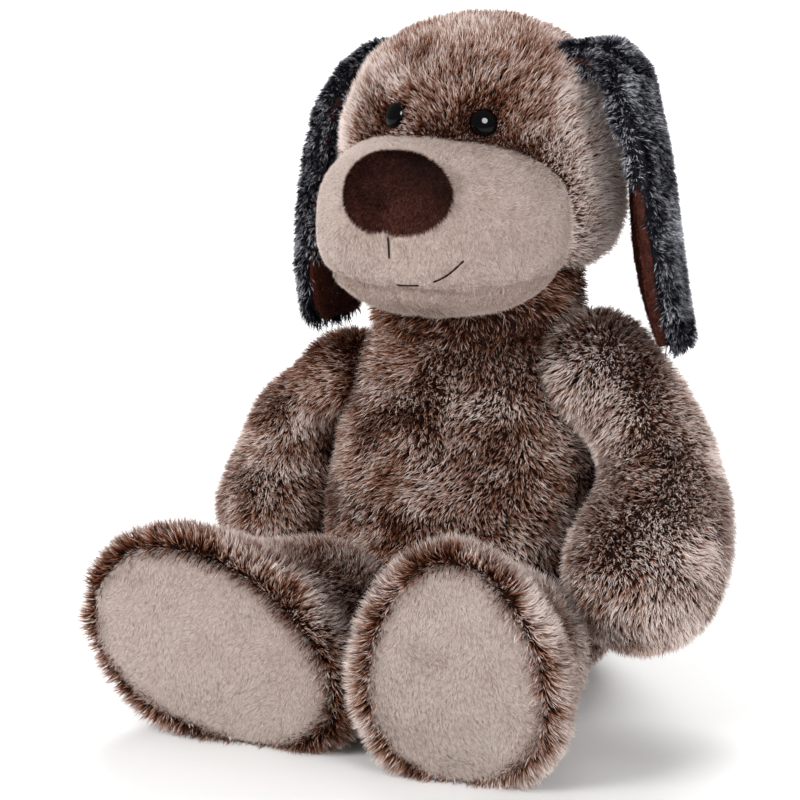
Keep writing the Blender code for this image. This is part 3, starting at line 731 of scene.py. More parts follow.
def stuffed(piece: bpy.types.Object, swell: Swell, seams: Any = None) -> bpy.types.Object:
    """Remesh a closed form evenly, swell it with cloth simulation and round it.

    Args:
        piece: the closed form.
        swell: how it is stuffed.
        seams: a function from points to the seams' hold on them, from 0 to 1, or None.

    Returns:
        The same piece, finished.
    """
    remesh = piece.modifiers.new("even_weave", "REMESH")
    remesh.mode = "VOXEL"
    remesh.voxel_size = swell.voxel
    even = piece.modifiers.new("rounding", "SMOOTH")
    even.factor = 0.5
    even.iterations = swell.relax
    settle(piece)
    start = read_points(piece) - read_normals(piece) * swell.shrink
    write_points(piece, start)
    start = read_points(piece)
    moved = blown_up(piece, swell, seams) - start
    outwards = read_normals(piece)
    moved += outwards * np.maximum(swell.least * swell.cap - dot(moved, outwards), 0.0)
    far = np.linalg.norm(moved, axis=1, keepdims=True)
    moved = moved * np.minimum(1.0, swell.cap / np.maximum(far, 1e-9))
    hold = np.zeros((len(start), 1)) if seams is None else seams(start)[:, None]
    write_points(piece, start + moved * (1.0 - hold))
    finer = piece.modifiers.new("fine_weave", "SUBSURF")
    finer.levels = swell.levels
    finer.render_levels = swell.levels
    settle(piece)
    write_points(piece, read_points(piece))
    return piece


def blown_up(piece: bpy.types.Object, swell: Swell, seams: Any) -> Array:
    """Run the cloth under pressure without gravity for 20 steps and return its points.

    Args:
        piece: the skin.
        swell: how it is stuffed.
        seams: a function from points to the seams' hold, or None.

    Returns:
        The swelled skin's points.
    """
    if seams is not None:
        held = piece.vertex_groups.new(name="seams")
        hold = seams(read_points(piece))
        held.add(np.flatnonzero(hold > 0.5).tolist(), 1.0, "REPLACE")
    cloth = piece.modifiers.new("stuffing", "CLOTH")
    cloth.settings.use_pressure = True
    cloth.settings.uniform_pressure_force = swell.pressure
    cloth.settings.effector_weights.gravity = 0.0
    cloth.settings.quality = 4
    cloth.collision_settings.use_collision = False
    cloth.point_cache.frame_start = 1
    cloth.point_cache.frame_end = CLOTH_STEPS
    if seams is not None:
        cloth.settings.vertex_group_mass = "seams"
    for step in range(1, CLOTH_STEPS + 1):
        bpy.context.scene.frame_set(step)
    graph = bpy.context.evaluated_depsgraph_get()
    shape = piece.evaluated_get(graph)
    points = np.empty(3 * len(shape.data.vertices), np.float32)
    shape.data.vertices.foreach_get("co", points)
    piece.modifiers.remove(cloth)
    bpy.context.scene.frame_set(1)
    return points.reshape(-1, 3).astype(float)


# ------------------------------------------------------------------ pile
class Blade(Enum):
    """A strand's shape: a straight spike, or a blade that bends at a knee."""

    SPIKE = "spike"
    BENT = "bent"


@dataclass(frozen=True)
class Scatter:
    """How much single strands differ from their neighbours.

    Attributes:
        length: share that a strand's length varies, up and down.
        width: share that its width varies, up and down.
        root_lean: spread of the lean at the root, in degrees.
        tip_lean: spread of the lean at the tip, in degrees.
        twist: spread of the twist about its own line, in degrees.
        knee: share of its length below the knee.
        patches: tint of the large patches.
        small_patches: tint of the small ones.
        tint: spread of the strands' own tints.
        edge_shade: how much darker the edge of a tuft is.
        edge_start: share of a tuft's size where that darkening is nothing.
        soft: share of the skin's normal in the strands' normals.
        floor: the lowest that a strand reaches.
    """

    length: float = 0.28
    width: float = 0.30
    root_lean: float = 8.0
    tip_lean: float = 12.0
    twist: float = 38.0
    knee: float = 0.55
    patches: float = 0.18
    small_patches: float = 0.20
    tint: float = 0.13
    edge_shade: float = 0.34
    edge_start: float = 0.4
    soft: float = 0.30
    floor: float = 0.0002


SCATTER = Scatter()


@dataclass(frozen=True)
class Pile:
    """How a cloth's strands stand.

    Attributes:
        blade: the shape of one strand.
        length: a strand's length.
        width: its width.
        root_lean: degrees from upright at the root.
        tip_lean: degrees from upright at the tip.
        tuft: size of the tufts.
        gather: how far tips gather to the middle of their tuft, from 0 to 1.
        swirl: degrees that the lie wanders.
        swirl_size: over what distance it wanders.
        stray: degrees that each strand strays.
        patch: size of the lighter and darker patches.
    """

    blade: Blade
    length: float
    width: float
    root_lean: float
    tip_lean: float
    tuft: float
    gather: float
    swirl: float
    swirl_size: float
    stray: float
    patch: float


LONG_FUR = Pile(Blade.BENT, length=0.0070, width=0.00042, root_lean=8.0, tip_lean=36.0,
                tuft=0.0027, gather=0.58, swirl=80.0, swirl_size=0.018, stray=20.0, patch=0.021)
EAR_FUR = Pile(Blade.BENT, length=0.0050, width=0.00042, root_lean=14.0, tip_lean=44.0,
               tuft=0.0027, gather=0.72, swirl=90.0, swirl_size=0.010, stray=24.0, patch=0.009)
VELBOA = Pile(Blade.SPIKE, length=0.0024, width=0.00032, root_lean=60.0, tip_lean=72.0,
              tuft=0.0030, gather=0.30, swirl=80.0, swirl_size=0.013, stray=22.0, patch=0.016)
LINING = Pile(Blade.SPIKE, length=0.0018, width=0.00032, root_lean=34.0, tip_lean=50.0,
              tuft=0.0018, gather=0.35, swirl=60.0, swirl_size=0.010, stray=20.0, patch=0.010)
NOSE_PLUSH = Pile(Blade.SPIKE, length=0.0021, width=0.00030, root_lean=26.0, tip_lean=48.0,
                  tuft=0.0018, gather=0.35, swirl=60.0, swirl_size=0.008, stray=20.0,
                  patch=0.008)


@dataclass
class Coat:
    """A pile's wishes at every vertex of a skin.

    Attributes:
        comb: the way the strands lie.
        thickness: how many strands grow, as a share.
        length: the strands' length, as a share of the pile's.
        tint: how pale they are, from 0 to 1.
        lean: how far they lean over, as a share of the pile's.
    """

    comb: Array
    thickness: Array
    length: Array
    tint: Array
    lean: Array


@dataclass
class Skin:
    """A finished surface that a pile can grow on."""

    points: Array
    normals: Array
    triangles: Array

    @classmethod
    def of(cls, piece: bpy.types.Object) -> "Skin":
        """Read the skin of a piece.

        Args:
            piece: the finished piece.

        Returns:
            Its skin.
        """
        mesh = piece.data
        mesh.calc_loop_triangles()
        triangles = np.empty(3 * len(mesh.loop_triangles), np.int32)
        mesh.loop_triangles.foreach_get("vertices", triangles)
        return cls(read_points(piece), read_normals(piece), triangles.reshape(-1, 3))

    def coat(self, comb: Array, tint: float = 0.5) -> Coat:
        """Return an even coat combed one way or by one vector for each vertex.

        Args:
            comb: the way the strands lie.
            tint: how pale they are.

        Returns:
            The coat.
        """
        count = len(self.points)
        combed = np.broadcast_to(np.asarray(comb, float), (count, 3)).copy()
        return Coat(combed, np.ones(count), np.ones(count), np.full(count, tint),
                    np.ones(count))


def grown_pile(name: str, skin: Skin, coat: Coat, pile: Pile, count: int,
               seed: int) -> bpy.types.Object:
    """Grow a pile on a skin.

    Every strand is a tapering blade, straight or with a knee.  It starts at a random place on
    the skin, picked in proportion to area and thickness, leaves near upright, bends over the
    way the coat is combed, and its tip is drawn to the middle of its tuft.

    Args:
        name: the piece's name.
        skin: the surface.
        coat: the pile's wishes at each of its vertices.
        pile: how the strands stand.
        count: how many strands.
        seed: picks the random values.

    Returns:
        The pile's object.
    """
    rng = np.random.default_rng(seed)
    corner = skin.triangles
    a, b, c = (skin.points[corner[:, k]] for k in range(3))
    area = np.linalg.norm(np.cross(b - a, c - a), axis=1)
    chance = area * coat.thickness[corner].mean(axis=1)
    picked = corner[rng.choice(len(corner), count, p=chance / chance.sum())]
    reach = np.sqrt(rng.random(count))
    share = rng.random(count)
    weights = np.stack([1.0 - reach, reach * (1.0 - share), reach * share], axis=1)

    def at(values: Array) -> Array:
        """Blend vertex values at the strands' roots."""
        return np.einsum("ij,ij...->i...", weights, values[picked])

    root = at(skin.points)
    up = unit(at(skin.normals))
    way = at(coat.comb)
    way = unit(way - up * dot(way, up) + 1e-6)
    side = np.cross(up, way)
    turn = (math.radians(pile.swirl) * drift(root, pile.swirl_size, seed + 1)
            + math.radians(pile.stray) * rng.normal(size=count))[:, None]
    way = way * np.cos(turn) + side * np.sin(turn)
    varied = 1.0 + SCATTER.length * (2.0 * rng.random(count) - 1.0)
    length = (pile.length * at(coat.length) * varied)[:, None]
    middle = tuft_middles(root, pile.tuft, seed + 2)
    pull = middle - root
    pull = pull - up * dot(pull, up)
    off_middle = np.linalg.norm(pull, axis=1) / pile.tuft
    pull = pull * (pile.gather * np.minimum(1.0, length / pile.length))
    lean = at(coat.lean)
    lean_low = np.radians(lean * pile.root_lean
                          + SCATTER.root_lean * rng.normal(size=count))[:, None]
    lean_high = np.radians(lean * pile.tip_lean
                           + SCATTER.tip_lean * rng.normal(size=count))[:, None]
    low_way = up * np.cos(lean_low) + way * np.sin(lean_low)
    high_way = up * np.cos(lean_high) + way * np.sin(lean_high)
    knee = root + low_way * length * SCATTER.knee + 0.4 * pull
    tip = knee + high_way * length * (1.0 - SCATTER.knee) + 0.6 * pull
    lie = unit(tip - root)
    across = unit(np.cross(lie, up) + 1e-6)
    twist = (math.radians(SCATTER.twist) * rng.normal(size=count))[:, None]
    across = across * np.cos(twist) + np.cross(lie, across) * np.sin(twist)
    half = 0.5 * pile.width * (1.0 + SCATTER.width * (2.0 * rng.random(count) - 1.0))[:, None]
    rows = [root - across * half * 0.8, root + across * half * 0.8]
    if pile.blade is Blade.BENT:
        rows += [knee - across * half, knee + across * half]
        faces, starts, along = (0, 1, 3, 2, 2, 3, 4), (0, 4), (0.0, 0.0, 0.5, 0.5, 0.5, 0.5, 1.0)
    else:
        faces, starts, along = (0, 1, 2), (0,), (0.0, 0.0, 1.0)
    blade = np.stack([*rows, tip], axis=1)
    blade = np.clip(blade, PILE_LOW, PILE_HIGH)
    blade[:, :, 2] = np.maximum(blade[:, :, 2], SCATTER.floor)
    points, corners = blade.shape[1], len(faces)
    number = np.arange(count)[:, None]
    made = mesh_object(name, blade.reshape(-1, 3), (points * number + np.array(faces)).ravel(),
                       (corners * number + np.array(starts)).ravel())
    tint = (at(coat.tint) + SCATTER.patches * drift(root, pile.patch, seed + 3)
            + SCATTER.small_patches * drift(root, 0.33 * pile.patch, seed + 4)
            + SCATTER.tint * rng.normal(size=count)
            - SCATTER.edge_shade * (off_middle - SCATTER.edge_start))
    tint = np.clip(tint, 0.02, 0.98)[:, None]
    spread = np.where(np.arange(corners) % 2 == 0, -0.003, 0.003)
    share = np.broadcast_to(0.01 + 0.98 * np.array(along), (count, corners))
    place = np.stack([tint + spread, share], axis=-1)
    layer = made.data.uv_layers.new(name=STRAND_MAP)
    layer.data.foreach_set("uv", place.astype(np.float32).ravel())
    facing = np.cross(across, lie)
    facing = facing * np.sign(dot(facing, up) + 1e-9)
    soft = unit(SCATTER.soft * up + (1.0 - SCATTER.soft) * facing)
    made.data.normals_split_custom_set_from_vertices(np.repeat(soft, points, axis=0))
    return made


# ------------------------------------------------------------------ sewn parts
class Side(Enum):
    """The dog's own left and right."""

    LEFT = 1
    RIGHT = -1

    @property
    def word(self) -> str:
        """Return the side's name as the nodes use it."""
        return self.name.lower()


WARDROBE = Wardrobe()


@dataclass
class Rider:
    """What a piece moves with: one body; a piece given a second body and two points is left
    unattached.
    """

    body: str
    second: str = ""
    start: Sequence[float] = ()
    end: Sequence[float] = ()

    def take(self, piece: bpy.types.Object) -> None:
        """Make a piece move with its body; with a second body, only bake its place into its mesh.

        Args:
            piece: the piece.
        """
        if self.second:
            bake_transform(piece)
        else:
            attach(piece, self.body)


def dressed(piece: bpy.types.Object, rider: Rider, look: bpy.types.Material, slot: str,
            *nodes: str) -> bpy.types.Object:
    """Give a piece its material and body, and hide the CAD nodes that it stands for.

    Args:
        piece: the piece.
        rider: what it moves with.
        look: its material.
        slot: the record's material slot; not used.
        nodes: the CAD nodes that it stands for.

    Returns:
        The same piece.
    """
    piece.data.materials.clear()
    piece.data.materials.append(look)
    if nodes:
        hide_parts(*nodes)
    rider.take(piece)
    LOG.info("%s: %d faces", piece.name, len(piece.data.polygons))
    return piece


def furred(name: str, skin: Skin, coat: Coat, pile: Pile, count: int, seed: int,
           finish: StrandFinish, rider: Rider) -> bpy.types.Object:
    """Grow a pile and dress it."""
    made = grown_pile(name, skin, coat, pile, count, seed)
    return dressed(made, rider, WARDROBE.strands(finish), finish.slot)


def pivot_of(joint: str) -> Array:
    """Return a joint's place."""
    return np.array(next(j["pos_m"] for j in frame["joints"] if j["name"] == joint))


def spot(points: Array, middle: Sequence[float], size: float) -> Array:
    """Return a soft round patch: exp(-(distance / size)^2) round a middle."""
    away = np.sum((points - np.asarray(middle, float)) ** 2, axis=1)
    return np.exp(-away / size ** 2)


def lumpy(piece: bpy.types.Object, height: float, size: float, seed: int) -> None:
    """Give a stuffed piece soft lumps: it moves along its normals by slow and quicker noise.

    Args:
        piece: the piece.
        height: how high a lump rises.
        size: the lumps' spacing.
        seed: picks the lumps.
    """
    points = read_points(piece)
    rise = drift(points, size, seed) + 0.35 * drift(points, 0.4 * size, seed + 1)
    write_points(piece, points + read_normals(piece) * (height * rise)[:, None])


@dataclass
class Torso:
    """The pear-shaped body: four furry panels in one skin."""

    swell: Swell = Swell(0.005, cap=0.0026, shrink=0.0014)
    front_strands: int = 62000
    back_strands: int = 31000
    fold_height: float = 0.147
    # middles of spots of painted shade in the creases where the legs join
    creases: tuple[tuple[float, float, float], ...] = (
        (-0.019, -0.029, 0.114), (-0.022, -0.030, 0.102), (-0.016, -0.031, 0.090),
        (-0.016, -0.032, 0.078))
    panels: tuple[str, ...] = ("belly_panel", "back_panel_left", "back_panel_right",
                               "seat_panel")

    def build(self) -> bpy.types.Object:
        """Make the skin and its fur, with painted shade under the chin and where the legs join.

        Returns:
            The torso's skin.
        """
        rider = Rider("torso")
        skin_piece = stuffed(wrapped("torso_skin", *self.panels), self.swell)
        lumpy(skin_piece, 0.0010, 0.030, 13)
        skin = Skin.of(skin_piece)
        down = np.array([0.0, -0.15, -1.0])
        points, normals = skin.points, skin.normals
        for name, front, count, seed in (("torso_fur_front", True, self.front_strands, 11),
                                         ("torso_fur_back", False, self.back_strands, 12)):
            coat = skin.coat(down)
            turned = smooth_step(-normals[:, 1] + 0.5 * normals[:, 0], -0.25, -0.05)
            coat.thickness = turned if front else 1.0 - turned
            coat.thickness *= 0.08 + 0.92 * smooth_step(points[:, 2], 0.0, 0.006)
            coat.thickness = np.maximum(coat.thickness, 1e-4)
            coat.length = 0.55 + 0.45 * smooth_step(points[:, 2], 0.0, 0.02)
            ahead = smooth_step(-normals[:, 1], 0.3, 0.8)
            # painted light and shade: a lighter band along the fold and a darker band under it
            fold = np.exp(-((points[:, 2] - self.fold_height) / 0.005) ** 2) * ahead
            shade_under_fold = np.exp(-((points[:, 2] - self.fold_height + 0.014) / 0.008) ** 2) * ahead
            coat.tint = 0.54 + 0.16 * fold - 0.12 * shade_under_fold
            # painted shade: darker towards the top of the torso, under the head
            coat.tint -= 0.14 * smooth_step(points[:, 2], 0.150, 0.185)
            # painted shade in the creases; the shorter fur there is real
            for middle in self.creases:
                coat.tint -= 0.36 * spot(points, middle, 0.007)
                coat.length -= 0.25 * spot(points, middle, 0.005)
            furred(name, skin, coat, LONG_FUR, count, seed, FROSTED_FUR, rider)
        return dressed(skin_piece, rider, WARDROBE.cloth(FUR_BACKING), "frosted_fur",
                       *self.panels)


@dataclass
class Neck:
    """The furry sleeve round the neck's ball, between body and head."""

    radius: float = 0.0455
    flatness: float = 0.92
    height: float = 0.032
    strands: int = 9000

    def build(self) -> bpy.types.Object:
        """Make the sleeve: radius r + 3 mm * (1 - t) round the neck's axis, oval and closed.

        Returns:
            The sleeve.
        """
        pivot = pivot_of("head_nod")
        bottom = pivot[2] - 0.68 * self.height
        turns = np.linspace(0.0, 2.0 * math.pi, 48, endpoint=False)
        share = np.linspace(0.0, 1.0, 12)
        radius = (self.radius + 0.003 * (1.0 - share))[:, None]
        rows = np.stack([pivot[0] + radius * np.cos(turns),
                         pivot[1] + self.flatness * radius * np.sin(turns),
                         np.broadcast_to(bottom + self.height * share[:, None],
                                         (len(share), len(turns)))], axis=-1)
        piece = closed_grid("neck_skin", rows, [[pivot[0], pivot[1], bottom]],
                            [[pivot[0], pivot[1], bottom + self.height]])
        skin = Skin.of(piece)
        # the sleeve's low tint is painted shade under the head
        coat = skin.coat((0.0, 0.0, -1.0), 0.38)
        coat.thickness = np.maximum(1.0 - np.abs(skin.normals[:, 2]), 1e-4)
        rider = Rider("torso", "neck", (pivot[0], pivot[1], bottom),
                      (pivot[0], pivot[1], bottom + self.height))
        furred("neck_fur", skin, coat, LONG_FUR, self.strands, 21, FROSTED_FUR, rider)
        return dressed(piece, rider, WARDROBE.cloth(FUR_BACKING), "frosted_fur")


@dataclass
class Head:
    """The head: six furry panels in one skin, with bare rings at eyes and muzzle."""

    swell: Swell = Swell(0.005, cap=0.0026, shrink=0.0014)
    front_strands: int = 64000
    back_strands: int = 27000
    panels: tuple[str, ...] = ("head_gusset", "head_side_left", "head_side_right",
                               "head_back_left", "head_back_right", "head_base")

    def build(self, muzzle: Array, eyes: Array) -> bpy.types.Object:
        """Make the skin and its fur.

        Args:
            muzzle: the muzzle skin's points, where no fur grows.
            eyes: the two eyes' middles.

        Returns:
            The skin.
        """
        rider = Rider("head")
        piece = stuffed(wrapped("head_skin", *self.panels), self.swell)
        lumpy(piece, 0.0006, 0.026, 33)
        skin = Skin.of(piece)
        points, normals = skin.points, skin.normals
        snout = muzzle.mean(axis=0)
        away = unit(points - snout)
        fall = smooth_step(points[:, 1], snout[1] + 0.03, snout[1] + 0.09)[:, None]
        comb = away * (1.0 - 0.7 * fall) + np.array([0.0, 0.0, -1.0]) * fall * 0.8
        eye_gap = nearest_gap(points, eyes)
        muzzle_gap = nearest_gap(points, muzzle)
        inside = muzzle_gap < 0.0012
        by_eye = smooth_step(eye_gap, 0.0064, 0.0150)
        by_muzzle = smooth_step(muzzle_gap, 0.0010, 0.0090)
        # a darker patch beside each eye, towards the dog's right: fur pressed flat there, and
        # painted shadow
        brushed_and_shadow = sum(spot(points, eye + np.array([-0.0095, 0.0, -0.0010]), 0.0048)
                      for eye in eyes)
        cheek = smooth_step(np.abs(points[:, 0]), 0.038, 0.056)
        crown = smooth_step(points[:, 2], 0.280, 0.310)
        for name, front, count, seed in (("head_fur_front", True, self.front_strands, 31),
                                         ("head_fur_back", False, self.back_strands, 32)):
            coat = skin.coat(comb)
            part = smooth_step(-normals[:, 1] + 0.5 * normals[:, 0] + 0.5 * normals[:, 2],
                               -0.25, -0.05)
            coat.thickness = part if front else 1.0 - part
            coat.thickness = np.where(inside | (eye_gap < 0.0060), 0.0, coat.thickness)
            coat.thickness = np.maximum(coat.thickness, 1e-6)
            coat.length = (0.42 + 0.58 * by_eye) * (0.55 + 0.45 * by_muzzle) + 0.20 * crown
            jowl = cheek * (1.0 - smooth_step(points[:, 2], 0.222, 0.250))
            coat.length += 0.40 * jowl
            coat.lean = 1.0 + 0.5 * cheek * (1.0 - crown)
            coat.tint = 0.34 + 0.12 * by_eye + 0.10 * by_muzzle - 0.06 * crown + 0.30 * cheek
            coat.tint = np.maximum(coat.tint - 0.40 * brushed_and_shadow, 0.10)
            furred(name, skin, coat, LONG_FUR, count, seed, FROSTED_FUR, rider)
        return dressed(piece, rider, WARDROBE.cloth(FUR_BACKING), "frosted_fur", *self.panels)


def superellipsoid(name: str, centre: Array, half: Array, power: float,
                   rings: int = 40, turns: int = 64) -> bpy.types.Object:
    """Make the form (|x/a|^2 + |y/b|^2)^(n/2) + |z/c|^n = 1, closed at both poles.

    Args:
        name: the piece's name.
        centre: its middle.
        half: its half sizes a, b and c.
        power: the exponent n; 2 is an ellipsoid.
        rings: rings between the poles.
        turns: points round each ring.

    Returns:
        The form.
    """
    tilt = np.linspace(-0.5 * math.pi, 0.5 * math.pi, rings + 2)[1:-1][:, None]
    angle = np.linspace(0.0, 2.0 * math.pi, turns, endpoint=False)[None, :]
    radius = np.abs(np.cos(tilt)) ** (2.0 / power)
    height = np.sign(np.sin(tilt)) * np.abs(np.sin(tilt)) ** (2.0 / power)
    rows = np.stack([centre[0] + half[0] * radius * np.cos(angle),
                     centre[1] + half[1] * radius * np.sin(angle),
                     np.broadcast_to(centre[2] + half[2] * height, (rings, turns))], axis=-1)
    pole = np.array([[0.0, 0.0, half[2]]])
    return closed_grid(name, rows, centre - pole, centre + pole)


@dataclass
class Muzzle:
    """The padded muzzle: two side panels and a chin in short pile, drawn in at their seams."""

    centre_depth: float = -0.0067
    power: float = 2.5
    chin_seam: float = 0.2130
    swell: Swell = Swell(0.0032, cap=0.0020, shrink=0.0012, relax=4, levels=1, fill=0.8)
    strands: int = 84000
    wrinkles: tuple[tuple[float, float, float, float], ...] = (
        (-0.040, 0.2215, -0.020, 0.2135), (-0.046, 0.2290, -0.031, 0.2200),
        (-0.030, 0.2120, -0.014, 0.2085), (0.024, 0.2115, 0.040, 0.2160))
    panels: tuple[str, ...] = ("muzzle_side_left", "muzzle_side_right", "muzzle_chin")

    def seam_hold(self, points: Array) -> Array:
        """Return how firmly the seams hold points: near x = 0 under the nose and at the chin.

        Args:
            points: the muzzle's points.

        Returns:
            One value from 0 to 1 for each point.
        """
        beside = np.exp(-(points[:, 0] / 0.0022) ** 2)
        low_enough = smooth_step(-points[:, 2], -0.2450, -0.2340)
        chin = np.exp(-((points[:, 2] - self.chin_seam) / 0.0020) ** 2)
        return np.maximum(beside * low_enough * 0.7, chin * 0.8)

    def skin(self) -> bpy.types.Object:
        """Make the muzzle's skin from its panels' box and draw its seams in.

        Returns:
            The muzzle's skin.
        """
        cloud = corners_of(*self.panels)
        low, high = cloud.min(axis=0), cloud.max(axis=0)
        centre = np.array([0.0, self.centre_depth, 0.5 * (low[2] + high[2])])
        half = np.array([high[0], centre[1] - low[1], 0.5 * (high[2] - low[2])])
        piece = superellipsoid("muzzle_skin", centre, half, self.power)
        stuffed(piece, self.swell, self.seam_hold)
        lumpy(piece, 0.0005, 0.017, 43)
        points = read_points(piece)
        ahead = smooth_step(-points[:, 1], 0.0, 0.02)
        drawn = 0.0023 * np.exp(-((points[:, 2] - self.chin_seam) / 0.0021) ** 2)
        beside = np.exp(-((points[:, 0] + 0.0003) / 0.0017) ** 2)
        drawn += 0.0010 * beside * smooth_step(-points[:, 2], -0.2400, -0.2340)
        above = np.exp(-((points[:, 0] - 0.0120) / 0.0014) ** 2)
        drawn += 0.0010 * above * smooth_step(points[:, 2], 0.2600, 0.2660)
        for wrinkle in self.wrinkles:
            drawn += 0.0011 * self.crease(points, *wrinkle)
        write_points(piece, points - read_normals(piece) * (drawn * ahead)[:, None])
        return piece

    @staticmethod
    def crease(points: Array, x0: float, z0: float, x1: float, z1: float) -> Array:
        """Return a line's pull: exp(-(distance / 1.6 mm)^2), seen from in front.

        Args:
            points: the muzzle's points.
            x0: where the line starts, across.
            z0: where it starts, upwards.
            x1: where it ends, across.
            z1: where it ends, upwards.

        Returns:
            One value from 0 to 1 for each point.
        """
        flat = points[:, [0, 2]]
        start, run = np.array([x0, z0]), np.array([x1 - x0, z1 - z0])
        share = np.clip((flat - start) @ run / (run @ run), 0.0, 1.0)[:, None]
        away = np.sum((flat - start - share * run) ** 2, axis=1)
        return np.exp(-away / 0.0016 ** 2) * (points[:, 1] < 0.0)

    def dress(self, piece: bpy.types.Object, nose: Array, threads: Array) -> None:
        """Give the muzzle its pile, shorter where the nose and the stitches lie.

        Args:
            piece: the muzzle's skin.
            nose: the nose's points.
            threads: the stitches' points.
        """
        rider = Rider("head")
        skin = Skin.of(piece)
        points = skin.points
        tip = nose.mean(axis=0)
        comb = unit(points - tip) + np.array([0.0, 0.3, -0.5])
        coat = skin.coat(comb, 0.66)
        nose_gap = nearest_gap(points, nose)
        thread_gap = nearest_gap(points, threads)
        coat.thickness = np.where(nose_gap < 0.0015, 0.02, 1.0)
        coat.thickness *= 0.02 + 0.98 * smooth_step(thread_gap, 0.0006, 0.0016)
        coat.thickness *= 0.03 + 0.97 * smooth_step(-points[:, 1], -0.012, 0.004)
        coat.length = 0.45 + 0.55 * smooth_step(thread_gap, 0.0010, 0.0040)
        coat.length += 0.5 * smooth_step(-points[:, 2], -0.2060, -0.2000)
        # painted shade: darker along the chin seam's valley and over the chin below it
        shaded_seam = np.exp(-((points[:, 2] - self.chin_seam) / 0.0016) ** 2)
        chin = 1.0 - smooth_step(points[:, 2], self.chin_seam - 0.006, self.chin_seam + 0.012)
        # painted light: the muzzle lighter towards the dog's right side
        lit_cheek = smooth_step(-points[:, 0], 0.004, 0.034)
        coat.tint += 0.24 * lit_cheek - 0.30 * shaded_seam - 0.50 * chin
        # painted shade in the wrinkles, on top of their real dents
        for wrinkle in self.wrinkles:
            coat.tint -= 0.20 * self.crease(points, *wrinkle)
        furred("muzzle_pile", skin, coat, VELBOA, self.strands, 41, BEIGE_PILE, rider)
        dressed(piece, rider, WARDROBE.cloth(BEIGE_BACKING), "beige_velboa", *self.panels)


@dataclass
class Nose:
    """The plush nose: a stuffed pad with a soft fold down its middle."""

    power: float = 2.2
    # middle of a painted highlight, low on the dog's left side of the nose
    worn: tuple[float, float, float] = (0.007, -0.0705, 0.2520)
    swell: Swell = Swell(0.0026, cap=0.0014, shrink=0.0008, relax=3, levels=1, fill=0.9)
    strands: int = 26000

    def skin(self) -> bpy.types.Object:
        """Make the nose's skin from its cover's box, with the fold pressed in.

        Returns:
            The nose's skin.
        """
        cover = corners_of("nose_cover")
        low, high = cover.min(axis=0), cover.max(axis=0)
        half = np.array([high[0], 0.0150, 0.5 * (high[2] - low[2])])
        half[2] = max(half[2], 0.0205)
        centre = np.array([0.0, low[1] + half[1], high[2] - half[2]])
        piece = superellipsoid("nose_skin", centre, half, self.power, 28, 48)
        stuffed(piece, self.swell)
        points = read_points(piece)
        lower = smooth_step(-points[:, 2], -(centre[2] + 0.004), -(centre[2] - 0.012))
        pressed = 0.0013 * np.exp(-((points[:, 0] + 0.002) / 0.0038) ** 2) * (0.2 + 0.8 * lower)
        write_points(piece, points - read_normals(piece) * pressed[:, None])
        return piece

    def dress(self, piece: bpy.types.Object) -> None:
        """Give the nose its short dark pile.

        Args:
            piece: the nose's skin.
        """
        rider = Rider("head")
        skin = Skin.of(piece)
        coat = skin.coat((0.0, -0.2, -1.0), 0.48)
        coat.thickness = 0.02 + 0.98 * smooth_step(-skin.normals[:, 1], -0.35, -0.1)
        # painted shade along the fold
        fold = np.exp(-((skin.points[:, 0] + 0.002) / 0.0030) ** 2)
        # painted shade: the nose darker towards the dog's right side
        shaded_side = smooth_step(-skin.points[:, 0], 0.002, 0.016)
        # the lighter spot is a painted highlight
        coat.tint = 0.46 - 0.26 * fold + 0.50 * spot(skin.points, self.worn, 0.013)
        coat.tint -= 0.12 * shaded_side
        furred("nose_pile", skin, coat, NOSE_PLUSH, self.strands, 51, NOSE_PILE, rider)
        dressed(piece, rider, WARDROBE.cloth(NOSE_BACKING), "nose_plush", "nose_cover")


